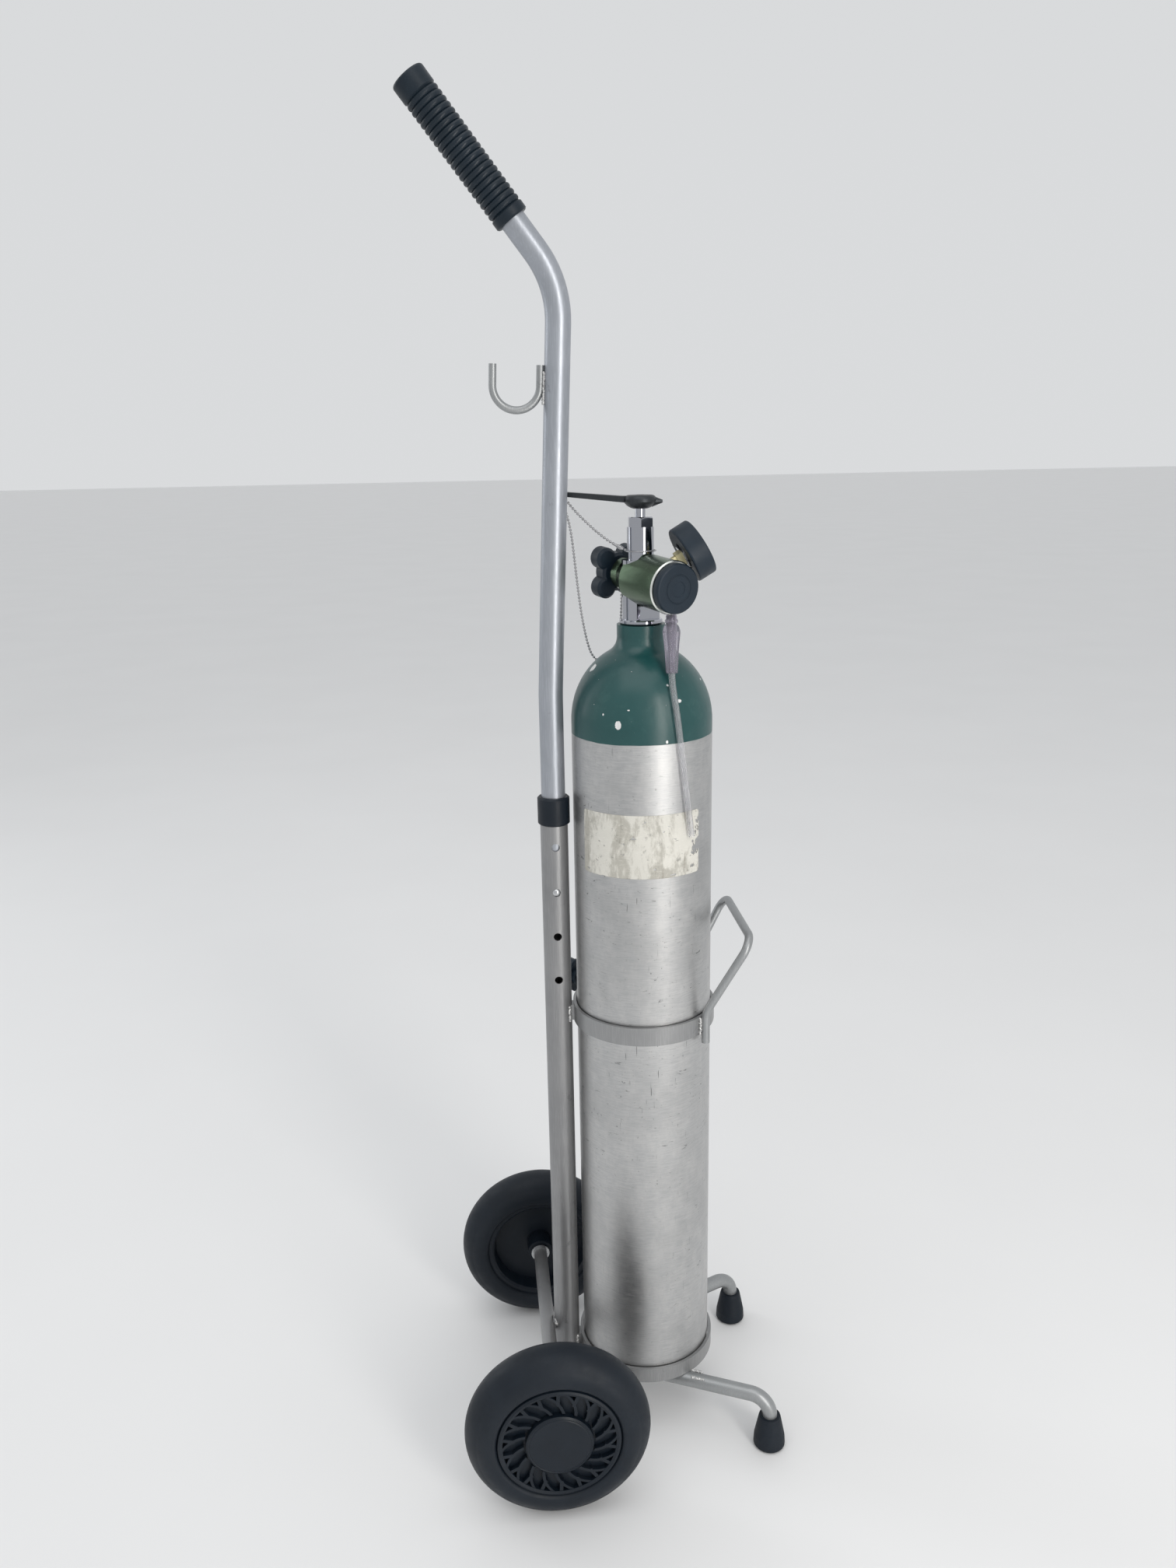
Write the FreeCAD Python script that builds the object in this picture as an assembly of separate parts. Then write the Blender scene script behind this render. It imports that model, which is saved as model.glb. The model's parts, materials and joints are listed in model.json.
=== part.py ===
import FreeCAD, Part
import math
import os

# An aluminium oxygen cylinder with a post valve, toggle wrench and yoke regulator, standing on a
# two-wheeled cart with a telescoping handle. Millimetres, +Z up. Everything is drawn about the
# cylinder's axis with the floor at z = 0: +X is the side of the two rubber feet, -X the side of
# the handle and wheels, and +Y the left. save() then moves it to the frame of the whole object,
# whose origin is on the floor under the middle of its bounding box.

V = FreeCAD.Vector
UP = V(0, 0, 1)
SIDES = (("left", 1), ("right", -1))

# ---- driving dimensions ---------------------------------------------------------------------
# gas cylinder
CYL_R = 55.6
CYL_WALL = 5.9
CYL_BOTTOM_Z = 53.5
CYL_BASE_ROUND = 10.6
SHOULDER_Z = 627.5
SHOULDER_RISE = 61.2
NECK_R = 18.8
NECK_TOP_Z = 703.0
NECK_THREAD_R = 9.5
NECK_FILLET_FROM_R = 25.5
LABEL_T = 0.2
LABEL_FROM_DEG = -152.5
LABEL_TO_DEG = -46.5
LABEL_Z = (513.0, 564.0)

# cart tubes and rings
POLE_X = -71.4
POLE_BOTTOM_Z = 36.0
LOWER_TUBE_R = 11.1
LOWER_TUBE_BORE_R = 9.6
LOWER_TUBE_TOP_Z = 564.6
UPPER_TUBE_R = 9.525
UPPER_TUBE_BORE_R = 8.1
UPPER_TUBE_END_Z = 472.0
LEAN_START_Z = 650.0
LEAN_DEG = 2.6
HANDLE_BEND_Z = 949.3
HANDLE_BEND_DEG = 37.2
HANDLE_BEND_R = 75.0
LEAN_BEND_R = 300.0
HOLE_TOP_Z = 527.4
HOLE_PITCH = 38.1
HOLE_COUNT = 4
HOLE_R = 3.3
BUTTON_HOLE = 1
BUTTON_CLEAR = 0.08
COLLAR_Z = (545.0, 567.6)
COLLAR_R = 12.85
GRIP_END_FROM_BEND = 167.2
GRIP_LENGTH = 114.6
GRIP_CORE_R = 11.5
GRIP_RIB_R = 12.9
GRIP_RIBS = 20
GRIP_CAP = 15.0
GRIP_COLLAR = 8.0
GRIP_ROUND = 2.0
HOOK_WIRE_R = 2.85
HOOK_BEND_R = 17.35
HOOK_BOTTOM_Z = 861.0
HOOK_LEG = 32.0
RING_BORE_R = 56.4
RING_R = 59.0
BAND_Z = (373.0, 388.3)
LEG_Z = 47.0
LEG_R = 6.35
LEG_WALL = 1.2
LEG_START_Y = 3.4
LEG_BEND_R = 17.0
FOOT_X = 95.75
FOOT_Y = 81.6
FOOT_R = 13.5
FOOT_TOP_R = 9.0
FOOT_H = 29.5
FOOT_FLOOR = 6.0
LIFT_ROD_R = 3.4
LIFT_LEG_DEG = 44.2
LIFT_LEG_Z = (366.0, 392.0)
LIFT_TOP_X = 79.8
LIFT_TOP_Y = 52.6
LIFT_TOP_Z = 456.1
CLAMP_DEG = 126.3
CLAMP_BOSS_R = 7.0
CLAMP_BOSS_TO = 69.0
CLAMP_SCREW_R = 4.0
CLAMP_KNOB_R = 15.0
CLAMP_KNOB = (85.0, 99.0)

# wheels and axle
WHEEL_R = 75.0
WHEEL_Y = 123.4
AXLE_X = -88.9
AXLE_TUBE_R = 6.35
AXLE_TUBE_HALF = 101.5
AXLE_ROD_R = 4.0
AXLE_ROD_HALF = 141.2
WASHER_R = 8.75
BUSH_R = 6.3
RUN_CLEAR = 0.05
RIM_R = 50.0
FIN_COUNT = 18
CAP_R = 27.0

# post valve and wrench
FLANGE_R = 16.75
FLANGE_Z = (703.6, 707.0)
BLOCK_R = 14.5
BLOCK_HALF = 10.0
BLOCK_TOP_Z = 752.0
POST_R = 10.25
POST_TOP_Z = 776.5
NUT_TOP_Z = 784.0
NUT_CORNER_R = 10.4
NUT_SPIGOT_R = 7.0
SEAT_Z = 723.4
CHAMBER_R = 5.05
STEM_R = 3.85
STEM_TOP_Z = 799.4
SQUARE_HALF = 2.6
WRENCH_DEG = 164.0
WRENCH_Z = (790.0, 800.0)
WRENCH_HEAD_R = 12.5
WRENCH_RISE_DEG = 4.5
WRENCH_TAIL = 64.0
WRENCH_HOLE_AT = 59.5

# regulator: its axis points forward and to the right, nose slightly down
REG_Z = 737.7
REG_DEG = -64.0
REG_NOSE_DOWN_DEG = 5.0
BARREL_R = 20.0
BOSS_R = 12.5
WINDOW_R = 16.2
KNOB_R = 18.7
KNOB_S = (43.8, 50.0)
STAR_LOBE_AT = 16.0
STAR_LOBE_R = 8.6
STAR_S = (-42.5, -29.0)
GAUGE_S = 25.7
GAUGE_OFFSET = 9.5
GAUGE_RISE_DEG = 33.2
GAUGE_TOE_DEG = 15.7
BOOT_R = 22.0
BARB_R = 3.1
SLEEVE_TOP = V(19.05, -28.5, 712.4)
SLEEVE_END = V(16.9, -43.6, 671.2)
TUBE_R = 2.45
CHAIN_R = 1.2
CHAIN_RING_R = 11.7
CHAIN_RING_Z = 758.6
SCREW_RING_R = 6.4
SCREW_RING_S = -25.4

# ---- routes of the oxygen tube and of the two strands of chain ------------------------------
TUBE_ROUTE = [(17.5, -50.3, 655.0), (18.8, -54.2, 644.0), (20.1, -55.6, 632.0),
              (23.6, -54.0, 606.0), (27.1, -52.4, 576.0), (31.3, -49.9, 544.5)]
CHAIN_SHORT_ROUTE = [(-55.6, 15.3, 797.6), (-49.9, 14.4, 790.0), (-41.4, 12.6, 781.2),
                     (-31.6, 10.6, 772.0), (-21.4, 8.4, 764.2), (-10.6, 5.0, 758.6)]
CHAIN_LONG_ROUTE = [(-58.4, 17.9, 797.8), (-53.4, 21.0, 784.0), (-50.4, 23.6, 769.0),
                    (-48.6, 26.0, 752.0), (-46.6, 28.5, 734.0), (-44.6, 30.5, 717.0),
                    (-42.0, 33.0, 700.0), (-38.6, 35.2, 683.6), (-34.5, 37.5, 672.0),
                    (-26.5, 40.0, 666.0), (-18.0, 39.5, 669.5), (-13.6, 34.0, 680.0),
                    (-12.6, 28.0, 696.0), (-12.0, 24.6, 715.0), (-11.3, 23.2, 733.4)]


# ---- small geometry helpers -----------------------------------------------------------------
def polar(radius, degrees, z=0.0):
    angle = math.radians(degrees)
    return V(radius * math.cos(angle), radius * math.sin(angle), z)


def arc(start, middle, end):
    return Part.Arc(start, middle, end).toShape()


def line(start, end):
    return Part.LineSegment(start, end).toShape()


def outline_face(steps, to_point):
    """Closed face: each step is (a, b), a straight line there, or (a, b, c, d), an arc by way of (a, b)."""
    start = to_point(steps[0][0], steps[0][1])
    here = start
    edges = []
    for step in steps[1:] + [steps[0]]:
        if len(step) == 4:
            there = to_point(step[2], step[3])
            edges.append(arc(here, to_point(step[0], step[1]), there))
        else:
            there = to_point(step[0], step[1])
            if (there - here).Length > 1e-6:
                edges.append(line(here, there))
        here = there
    return Part.Face(Part.Wire(edges))


def turned(steps):
    """Solid of revolution about Z of an outline in (radius, height)."""
    face = outline_face(steps, lambda radius, height: V(radius, 0, height))
    return face.revolve(V(0, 0, 0), UP, 360)


def dome(radius, z_low, z_top):
    """Outline step for a spherical cap that meets the axis: from (radius, z_low) up to (0, z_top)."""
    rise = z_top - z_low
    ball = (radius ** 2 + rise ** 2) / (2 * rise)
    half = math.asin(radius / ball) / 2
    return ball * math.sin(half), z_top - ball * (1 - math.cos(half)), 0, z_top


def prism(steps, z_low, z_high):
    face = outline_face(steps, lambda x, y: V(x, y, z_low))
    return face.extrude(V(0, 0, z_high - z_low))


def rod(radius, z_low, z_high, x=0.0, y=0.0):
    return Part.makeCylinder(radius, z_high - z_low, V(x, y, z_low))


def ring(bore, radius, z_low, z_high, x=0.0, y=0.0):
    return rod(radius, z_low, z_high, x, y).cut(rod(bore, z_low - 1, z_high + 1, x, y))


def block(x, y, z):
    return Part.makeBox(x[1] - x[0], y[1] - y[0], z[1] - z[0], V(x[0], y[0], z[0]))


def hexagon(corner_r, z_low, z_high, turn=0.0):
    corners = [polar(corner_r, turn + 60 * i, z_low) for i in range(6)]
    return Part.Face(Part.makePolygon(corners + corners[:1])).extrude(V(0, 0, z_high - z_low))


def placed(shape, origin, z_axis, x_axis=None):
    """Copy of a shape drawn about Z, set with its Z along z_axis and its X near x_axis."""
    x_axis = x_axis or (V(1, 0, 0) if abs(z_axis.x) < 0.9 else V(0, 1, 0))
    y_axis = z_axis.cross(x_axis)
    turn = FreeCAD.Rotation(y_axis.cross(z_axis), y_axis, z_axis, "ZXY")
    copy = shape.copy()
    copy.Placement = FreeCAD.Placement(origin, turn).multiply(copy.Placement)
    return copy


def rounded_path(points, radii):
    """Wire of straight runs joined by tangent arcs, one radius for each inner point."""
    edges = []
    here = points[0]
    for before, corner, after, radius in zip(points, points[1:], points[2:], radii):
        back = (before - corner).normalize()
        on = (after - corner).normalize()
        half = (math.pi - back.getAngle(on)) / 2
        reach = radius * math.tan(half)
        middle = (back + on).normalize()
        start = corner + back * reach
        end = corner + on * reach
        edges.append(line(here, start))
        edges.append(arc(start, corner + middle * (radius / math.cos(half) - radius), end))
        here = end
    edges.append(line(here, points[-1]))
    return Part.Wire(edges)


def swept(path, radius):
    """Solid round bar of one radius along a wire of lines and arcs."""
    start = path.OrderedVertexes[0].Point
    first = path.OrderedEdges[0]
    direction = first.tangentAt(first.FirstParameter)
    if (first.valueAt(first.FirstParameter) - start).Length > 0.01:
        direction = first.tangentAt(first.LastParameter) * -1
    circle = Part.Wire(Part.makeCircle(radius, start, direction))
    return path.makePipeShell([circle], True, False)


def cord(route, radius, name):
    """Round cord along its route, with each arc as large as its two runs allow."""
    points = [V(*point) for point in route]
    radii = []
    for before, corner, after in zip(points, points[1:], points[2:]):
        shorter = min((corner - before).Length, (after - corner).Length)
        turn = math.pi - (before - corner).getAngle(after - corner)
        radii.append(0.45 * shorter / math.tan(turn / 2))
    path = rounded_path(points, radii)
    solid = swept(path, radius)
    expected = math.pi * radius ** 2 * path.Length
    print("%s: length %.1f, radii %s, volume %.3f of expected"
          % (name, path.Length, [round(r, 1) for r in radii], solid.Volume / expected))
    return solid


# ---- frame of the whole object --------------------------------------------------------------
LEAN = math.radians(LEAN_DEG)
TILT = math.radians(HANDLE_BEND_DEG)
LEAN_DIR = V(math.sin(LEAN), 0, math.cos(LEAN))
GRIP_DIR = V(-math.sin(TILT), 0, math.cos(TILT))
BEND_POINT = V(POLE_X + (HANDLE_BEND_Z - LEAN_START_Z) * math.tan(LEAN), 0, HANDLE_BEND_Z)
GRIP_END = BEND_POINT + GRIP_DIR * GRIP_END_FROM_BEND

# rear reach: the rounded edge of the grip's end; front reach: the feet
REAR_X = (GRIP_END.x + GRIP_ROUND * math.sin(TILT) - (GRIP_RIB_R - GRIP_ROUND) * math.cos(TILT)
          - GRIP_ROUND)
FRONT_X = FOOT_X + FOOT_R
FRAME_X = -(REAR_X + FRONT_X) / 2


def save(node, shape):
    if not shape.isValid():
        print("NOT VALID", node)
    moved = shape.copy()
    moved.translate(V(FRAME_X, 0, 0))
    moved.exportStep("parts/" + node + ".step")


# ---- cart frame -----------------------------------------------------------------------------
def hole_z(index):
    return HOLE_TOP_Z - HOLE_PITCH * index


def lower_tube():
    tube = ring(LOWER_TUBE_BORE_R, LOWER_TUBE_R, POLE_BOTTOM_Z, LOWER_TUBE_TOP_Z, POLE_X)
    for index in range(HOLE_COUNT):
        drill = Part.makeCylinder(HOLE_R, LOWER_TUBE_R + 2, V(POLE_X, 0, hole_z(index)), V(0, -1, 0))
        tube = tube.cut(drill)
    return tube


def tube_collar():
    low, high = COLLAR_Z
    lip = UPPER_TUBE_R + 0.1
    collar = turned([(LOWER_TUBE_R, low), (COLLAR_R - 1, low), (COLLAR_R, low + 1), (COLLAR_R, high - 1.2),
                     (COLLAR_R - 1.2, high), (lip, high), (lip, LOWER_TUBE_TOP_Z),
                     (LOWER_TUBE_R, LOWER_TUBE_TOP_Z)])
    collar.translate(V(POLE_X, 0, 0))
    return collar


def across(shape, z=WHEEL_R):
    """Set a shape drawn about Z along the axle."""
    return placed(shape, V(AXLE_X, 0, z), V(0, 1, 0), V(1, 0, 0))


def on_both_sides(shape):
    """Compound of a shape drawn about Z, outward from the middle, on both ends of the axle."""
    return Part.Compound([placed(shape, V(AXLE_X, 0, WHEEL_R), V(0, side, 0), V(1, 0, 0))
                          for _, side in SIDES])


def front_leg(side):
    corner = V(FOOT_X, side * FOOT_Y, LEG_Z)
    points = [V(POLE_X, side * LEG_START_Y, LEG_Z), corner, V(FOOT_X, side * FOOT_Y, FOOT_FLOOR)]
    leg = swept(rounded_path(points, [LEG_BEND_R]), LEG_R)
    leg = leg.cut(swept(rounded_path(points, [LEG_BEND_R]), LEG_R - LEG_WALL))
    return leg.cut(rod(LOWER_TUBE_R, LEG_Z - 20, LEG_Z + 20, POLE_X))


def foot(side):
    tip = turned([(0, 0), (FOOT_R - 3, 0), (FOOT_R - 0.879, 0.879, FOOT_R, 3), (FOOT_R - 0.4, 10),
                  (FOOT_TOP_R + 0.6, FOOT_H - 2), (FOOT_TOP_R, FOOT_H), (LEG_R, FOOT_H),
                  (LEG_R, FOOT_FLOOR), (0, FOOT_FLOOR)])
    tip.translate(V(FOOT_X, side * FOOT_Y, 0))
    return tip


def clamp_axis():
    return polar(1, CLAMP_DEG)


def radial(shape, z):
    """Set a shape drawn about Z so that its Z runs outward along the clamp screw's axis."""
    return placed(shape, V(0, 0, z), clamp_axis(), UP)


def band_mid_z():
    return (BAND_Z[0] + BAND_Z[1]) / 2


def retaining_band():
    band = ring(RING_BORE_R, RING_R, *BAND_Z)
    hole = radial(rod(CLAMP_SCREW_R + 0.2, RING_BORE_R - 4, RING_R + 4), band_mid_z())
    return band.cut(hole)


def base_ring():
    return ring(RING_BORE_R, RING_R, LEG_Z + LEG_R, LEG_Z + LEG_R + 13.2)


def ring_welds():
    """Weld metal that joins the two rings and the axle tube to the pole."""
    pole = rod(LOWER_TUBE_R, 0, LOWER_TUBE_TOP_Z, POLE_X)
    front = POLE_X + LOWER_TUBE_R
    welds = []
    for low, high in (BAND_Z, (LEG_Z + LEG_R, LEG_Z + LEG_R + 13.2)):
        fill = block((front - 1.4, -RING_R + 2), (-5.0, 5.0), (low + 1, high - 1))
        welds.append(fill.cut(pole).cut(rod(RING_R, 0, LOWER_TUBE_TOP_Z)))
    rear = POLE_X - LOWER_TUBE_R
    fill = block((rear - 1.8, rear + 1.2), (-4.0, 4.0), (WHEEL_R - 3.5, WHEEL_R + 3.5))
    welds.append(fill.cut(pole).cut(across(rod(AXLE_TUBE_R, -30, 30))))
    return Part.Compound(welds)


def lift_handle():
    leg_r = RING_R + LIFT_ROD_R
    low, high = LIFT_LEG_Z
    points = [polar(leg_r, -LIFT_LEG_DEG, low), polar(leg_r, -LIFT_LEG_DEG, high),
              V(LIFT_TOP_X, -LIFT_TOP_Y, LIFT_TOP_Z), V(LIFT_TOP_X, LIFT_TOP_Y, LIFT_TOP_Z),
              polar(leg_r, LIFT_LEG_DEG, high), polar(leg_r, LIFT_LEG_DEG, low)]
    return swept(rounded_path(points, [20, 13, 13, 20]), LIFT_ROD_R)


def clamp_boss():
    boss = rod(CLAMP_BOSS_R, RING_R - 3, CLAMP_BOSS_TO)
    boss = boss.cut(rod(CLAMP_SCREW_R + RUN_CLEAR, RING_R - 5, CLAMP_BOSS_TO + 2))
    return radial(boss, band_mid_z()).cut(rod(RING_R, BAND_Z[0] - 5, BAND_Z[1] + 5))


def clamp_screw():
    tip = CYL_R + 0.4
    screw = turned([(0, tip), (CLAMP_SCREW_R - 1, tip), (CLAMP_SCREW_R, tip + 1),
                    (CLAMP_SCREW_R, CLAMP_KNOB[1] - 4), (0, CLAMP_KNOB[1] - 4)])
    return radial(screw, band_mid_z())


def lobed(lobe_at, lobe_r, core_r, count, first_deg, z_low, z_high, bevel):
    """Knob with round lobes about Z, its outer edges bevelled."""
    knob = rod(core_r, z_low, z_high)
    for i in range(count):
        centre = polar(lobe_at, first_deg + 360.0 / count * i)
        knob = knob.fuse(rod(lobe_r, z_low, z_high, centre.x, centre.y))
    knob = knob.removeSplitter()
    rims = [e for e in knob.Edges if e.BoundBox.ZLength < 1e-6]
    return knob.makeChamfer(bevel, rims)


def clamp_knob():
    low, high = CLAMP_KNOB
    knob = lobed(10.5, 4.5, 11.5, 6, 0, low, high, 1.2)
    knob = knob.fuse(rod(7.0, low - 5, low + 1))
    return radial(knob.cut(rod(CLAMP_SCREW_R, low - 6, high - 4)), band_mid_z())


# ---- handle ---------------------------------------------------------------------------------
def upper_tube():
    end = GRIP_END - GRIP_DIR * 4.0
    points = [V(POLE_X, 0, UPPER_TUBE_END_Z), V(POLE_X, 0, LEAN_START_Z), BEND_POINT, end]
    path = rounded_path(points, [LEAN_BEND_R, HANDLE_BEND_R])
    tube = swept(path, UPPER_TUBE_R).cut(swept(path, UPPER_TUBE_BORE_R))
    drill = Part.makeCylinder(HOLE_R, LOWER_TUBE_R + 2, V(POLE_X, 0, hole_z(BUTTON_HOLE)), V(0, -1, 0))
    return tube.cut(drill)


def hand_grip():
    pitch = (GRIP_LENGTH - GRIP_CAP - GRIP_COLLAR) / GRIP_RIBS
    steps = [(UPPER_TUBE_R, 0), (GRIP_RIB_R - 1, 0), (GRIP_RIB_R, 1), (GRIP_RIB_R, GRIP_COLLAR - 1.4),
             (GRIP_CORE_R, GRIP_COLLAR)]
    for i in range(GRIP_RIBS):
        low = GRIP_COLLAR + pitch * i
        steps.append((GRIP_RIB_R, low + pitch / 2, GRIP_CORE_R, low + pitch))
    steps += [(GRIP_RIB_R, GRIP_LENGTH - GRIP_CAP + 1.4), (GRIP_RIB_R, GRIP_LENGTH - GRIP_ROUND),
              (GRIP_RIB_R - GRIP_ROUND * 0.293, GRIP_LENGTH - GRIP_ROUND * 0.293,
               GRIP_RIB_R - GRIP_ROUND, GRIP_LENGTH),
              (0, GRIP_LENGTH), (0, GRIP_LENGTH - 4), (UPPER_TUBE_R, GRIP_LENGTH - 4)]
    return placed(turned(steps), GRIP_END - GRIP_DIR * GRIP_LENGTH, GRIP_DIR, V(0, 1, 0))


def pole_centre(z):
    return V(POLE_X + (z - LEAN_START_Z) * math.tan(LEAN), 0, z)


def hang_hook():
    """J of round wire, welded along the back of the leaning tube."""
    back = V(-LEAN_DIR.z, 0, LEAN_DIR.x)
    root = pole_centre(HOOK_BOTTOM_Z) + back * (UPPER_TUBE_R + HOOK_WIRE_R)
    low_near = root
    low_far = root + back * (2 * HOOK_BEND_R)
    points = [root + LEAN_DIR * HOOK_LEG, low_near, low_far, low_far + LEAN_DIR * HOOK_LEG]
    path = rounded_path(points, [HOOK_BEND_R - 0.01, HOOK_BEND_R - 0.01])
    wire = swept(path, HOOK_WIRE_R)
    bottom = pole_centre(HOOK_BOTTOM_Z - 20)
    pole = Part.makeCylinder(UPPER_TUBE_R, 120, bottom, LEAN_DIR)
    return wire.cut(pole)


def button_spring():
    """Folded leaf spring inside the upper tube, behind the snap button."""
    z = hole_z(BUTTON_HOLE)
    outer = 6.4
    inner = 5.7
    steps = [(-outer, z - 7), (-inner, z - 7), (-inner, z + 24), (0, z + 24 + inner, inner, z + 24),
             (inner, z - 7), (outer, z - 7), (outer, z + 24), (0, z + 24 + outer, -outer, z + 24)]
    face = outline_face(steps, lambda y, height: V(POLE_X - 2.5, y, height))
    return face.extrude(V(5, 0, 0))


def snap_button():
    z = hole_z(BUTTON_HOLE)
    radius = HOLE_R - BUTTON_CLEAR
    tip = LOWER_TUBE_R + 1.3
    button = turned([(0, 6.4), (radius, 6.4), (radius, LOWER_TUBE_R - 0.4),
                     dome(radius, LOWER_TUBE_R - 0.4, tip)])
    return placed(button, V(POLE_X, 0, z), V(0, -1, 0), UP)


# ---- wheels ---------------------------------------------------------------------------------
def wheel_part(shape, side):
    """Set a wheel part drawn about Z, outward from the wheel's middle plane."""
    return placed(shape, V(AXLE_X, side * WHEEL_Y, WHEEL_R), V(0, side, 0), V(1, 0, 0))


def tyre():
    return turned([(RIM_R, -16), (RIM_R, 16), (51.6, 18.8, 54.5, 19.6), (60.5, 19.0, 66.0, 16.0),
                   (WHEEL_R - 2.4, 9.4, WHEEL_R, 0), (WHEEL_R - 2.4, -9.4, 66.0, -16.0),
                   (60.5, -19.0, 54.5, -19.6), (51.6, -18.8, RIM_R, -16)])


def swirl_fin(turn):
    """One forked blade of the hub's swirl, between the cap and the rim."""
    low, high = 13.5, 18.2

    def at(radius, degrees):
        point = polar(radius, turn + degrees)
        return point.x, point.y

    blade = prism([at(28.6, 0), at(37, 8) + at(45.6, 20), at(45.6, 24), at(37, 12.5) + at(28.6, 5)],
                  low, high)
    branch = prism([at(35.0, 9), at(45.6, 8.5), at(45.6, 12), at(36.5, 13.5)], low, high)
    return blade.fuse(branch)


def wheel_hub():
    bore = BUSH_R + RUN_CLEAR
    hub = turned([(bore, -19.8), (12, -19.8), (12, -2), (43, -2), (45, -14.5), (47, -16), (RIM_R, -16),
                  (RIM_R, 16), (49.2, 18.4), (47.5, 19.2), (45.4, 18.4), (45.4, 14), (12, 14), (12, 15.6),
                  (bore, 15.6)])
    for i in range(FIN_COUNT):
        hub = hub.fuse(swirl_fin(360.0 / FIN_COUNT * i))
    return hub.removeSplitter()


def hub_cap():
    return turned([(0, 18.6), (24.4, 18.6), (24.4, 14), (CAP_R, 14), (CAP_R, 19.6), (25.6, 20.8),
                   (24.6, 20.4), (23.8, 20.8), (0, 21.0)])


# ---- gas cylinder ---------------------------------------------------------------------------
def ellipse_r(z, radius, rise):
    return radius * math.sqrt(1 - ((z - SHOULDER_Z) / rise) ** 2)


def ellipse_z(r, radius, rise):
    return SHOULDER_Z + rise * math.sqrt(1 - (r / radius) ** 2)


def ellipse_edge(radius, rise, r_end):
    """Elliptical shoulder from the straight wall in to radius r_end, in the XZ plane."""
    big, small = V(0, 0, SHOULDER_Z + rise), V(radius, 0, SHOULDER_Z)
    curve = Part.Ellipse(big, small, V(0, 0, SHOULDER_Z))
    end = V(r_end, 0, ellipse_z(r_end, radius, rise))
    first, last = sorted((curve.parameter(small), curve.parameter(end)))
    if last - first > math.pi:
        first, last = last - 2 * math.pi, first
    return curve.toShape(first, last)


def gas_cylinder():
    from_r = NECK_FILLET_FROM_R
    from_z = ellipse_z(from_r, CYL_R, SHOULDER_RISE)
    slope = SHOULDER_RISE * from_r / (CYL_R ** 2 * math.sqrt(1 - (from_r / CYL_R) ** 2))
    lean = math.atan(slope)
    fillet = (from_r - NECK_R) / (1 - math.sin(lean))
    centre = V(NECK_R + fillet, 0, from_z + fillet * math.cos(lean))
    half = (math.pi / 2 - lean) / 2
    middle = centre + V(-math.cos(half), 0, -math.sin(half)) * fillet
    low_round = CYL_BASE_ROUND * (1 - math.sqrt(0.5))
    base_r = CYL_R - CYL_BASE_ROUND
    base_z = CYL_BOTTOM_Z + CYL_BASE_ROUND
    edges = [line(V(0, 0, CYL_BOTTOM_Z), V(base_r, 0, CYL_BOTTOM_Z)),
             arc(V(base_r, 0, CYL_BOTTOM_Z), V(CYL_R - low_round, 0, CYL_BOTTOM_Z + low_round),
                 V(CYL_R, 0, base_z)),
             line(V(CYL_R, 0, base_z), V(CYL_R, 0, SHOULDER_Z)),
             ellipse_edge(CYL_R, SHOULDER_RISE, from_r),
             arc(V(from_r, 0, from_z), middle, V(NECK_R, 0, centre.z)),
             line(V(NECK_R, 0, centre.z), V(NECK_R, 0, NECK_TOP_Z)),
             line(V(NECK_R, 0, NECK_TOP_Z), V(0, 0, NECK_TOP_Z)),
             line(V(0, 0, NECK_TOP_Z), V(0, 0, CYL_BOTTOM_Z))]
    outside = Part.Face(Part.Wire(edges)).revolve(V(0, 0, 0), UP, 360)
    inner_r = CYL_R - CYL_WALL
    inner_rise = SHOULDER_RISE - CYL_WALL
    floor_z = CYL_BOTTOM_Z + 1.5 * CYL_WALL
    edges = [line(V(0, 0, floor_z), V(inner_r - 6, 0, floor_z)),
             line(V(inner_r - 6, 0, floor_z), V(inner_r, 0, floor_z + 6)),
             line(V(inner_r, 0, floor_z + 6), V(inner_r, 0, SHOULDER_Z)),
             ellipse_edge(inner_r, inner_rise, NECK_THREAD_R),
             line(V(NECK_THREAD_R, 0, ellipse_z(NECK_THREAD_R, inner_r, inner_rise)),
                  V(NECK_THREAD_R, 0, NECK_TOP_Z + 1)),
             line(V(NECK_THREAD_R, 0, NECK_TOP_Z + 1), V(0, 0, NECK_TOP_Z + 1)),
             line(V(0, 0, NECK_TOP_Z + 1), V(0, 0, floor_z))]
    inside = Part.Face(Part.Wire(edges)).revolve(V(0, 0, 0), UP, 360)
    return outside.cut(inside)


def cylinder_label():
    sheet = ring(CYL_R, CYL_R + LABEL_T, *LABEL_Z)
    centre = V(0, 0, 0)
    reach = 3 * CYL_R
    middle_deg = (LABEL_FROM_DEG + LABEL_TO_DEG) / 2
    corners = [centre, polar(reach, LABEL_FROM_DEG), polar(reach, middle_deg), polar(reach, LABEL_TO_DEG),
               centre]
    wedge = Part.Face(Part.makePolygon(corners)).extrude(V(0, 0, LABEL_Z[1] + 10))
    return sheet.common(wedge)


def neck_seal():
    return ring(NECK_THREAD_R, 14.6, NECK_TOP_Z, FLANGE_Z[0])


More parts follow.
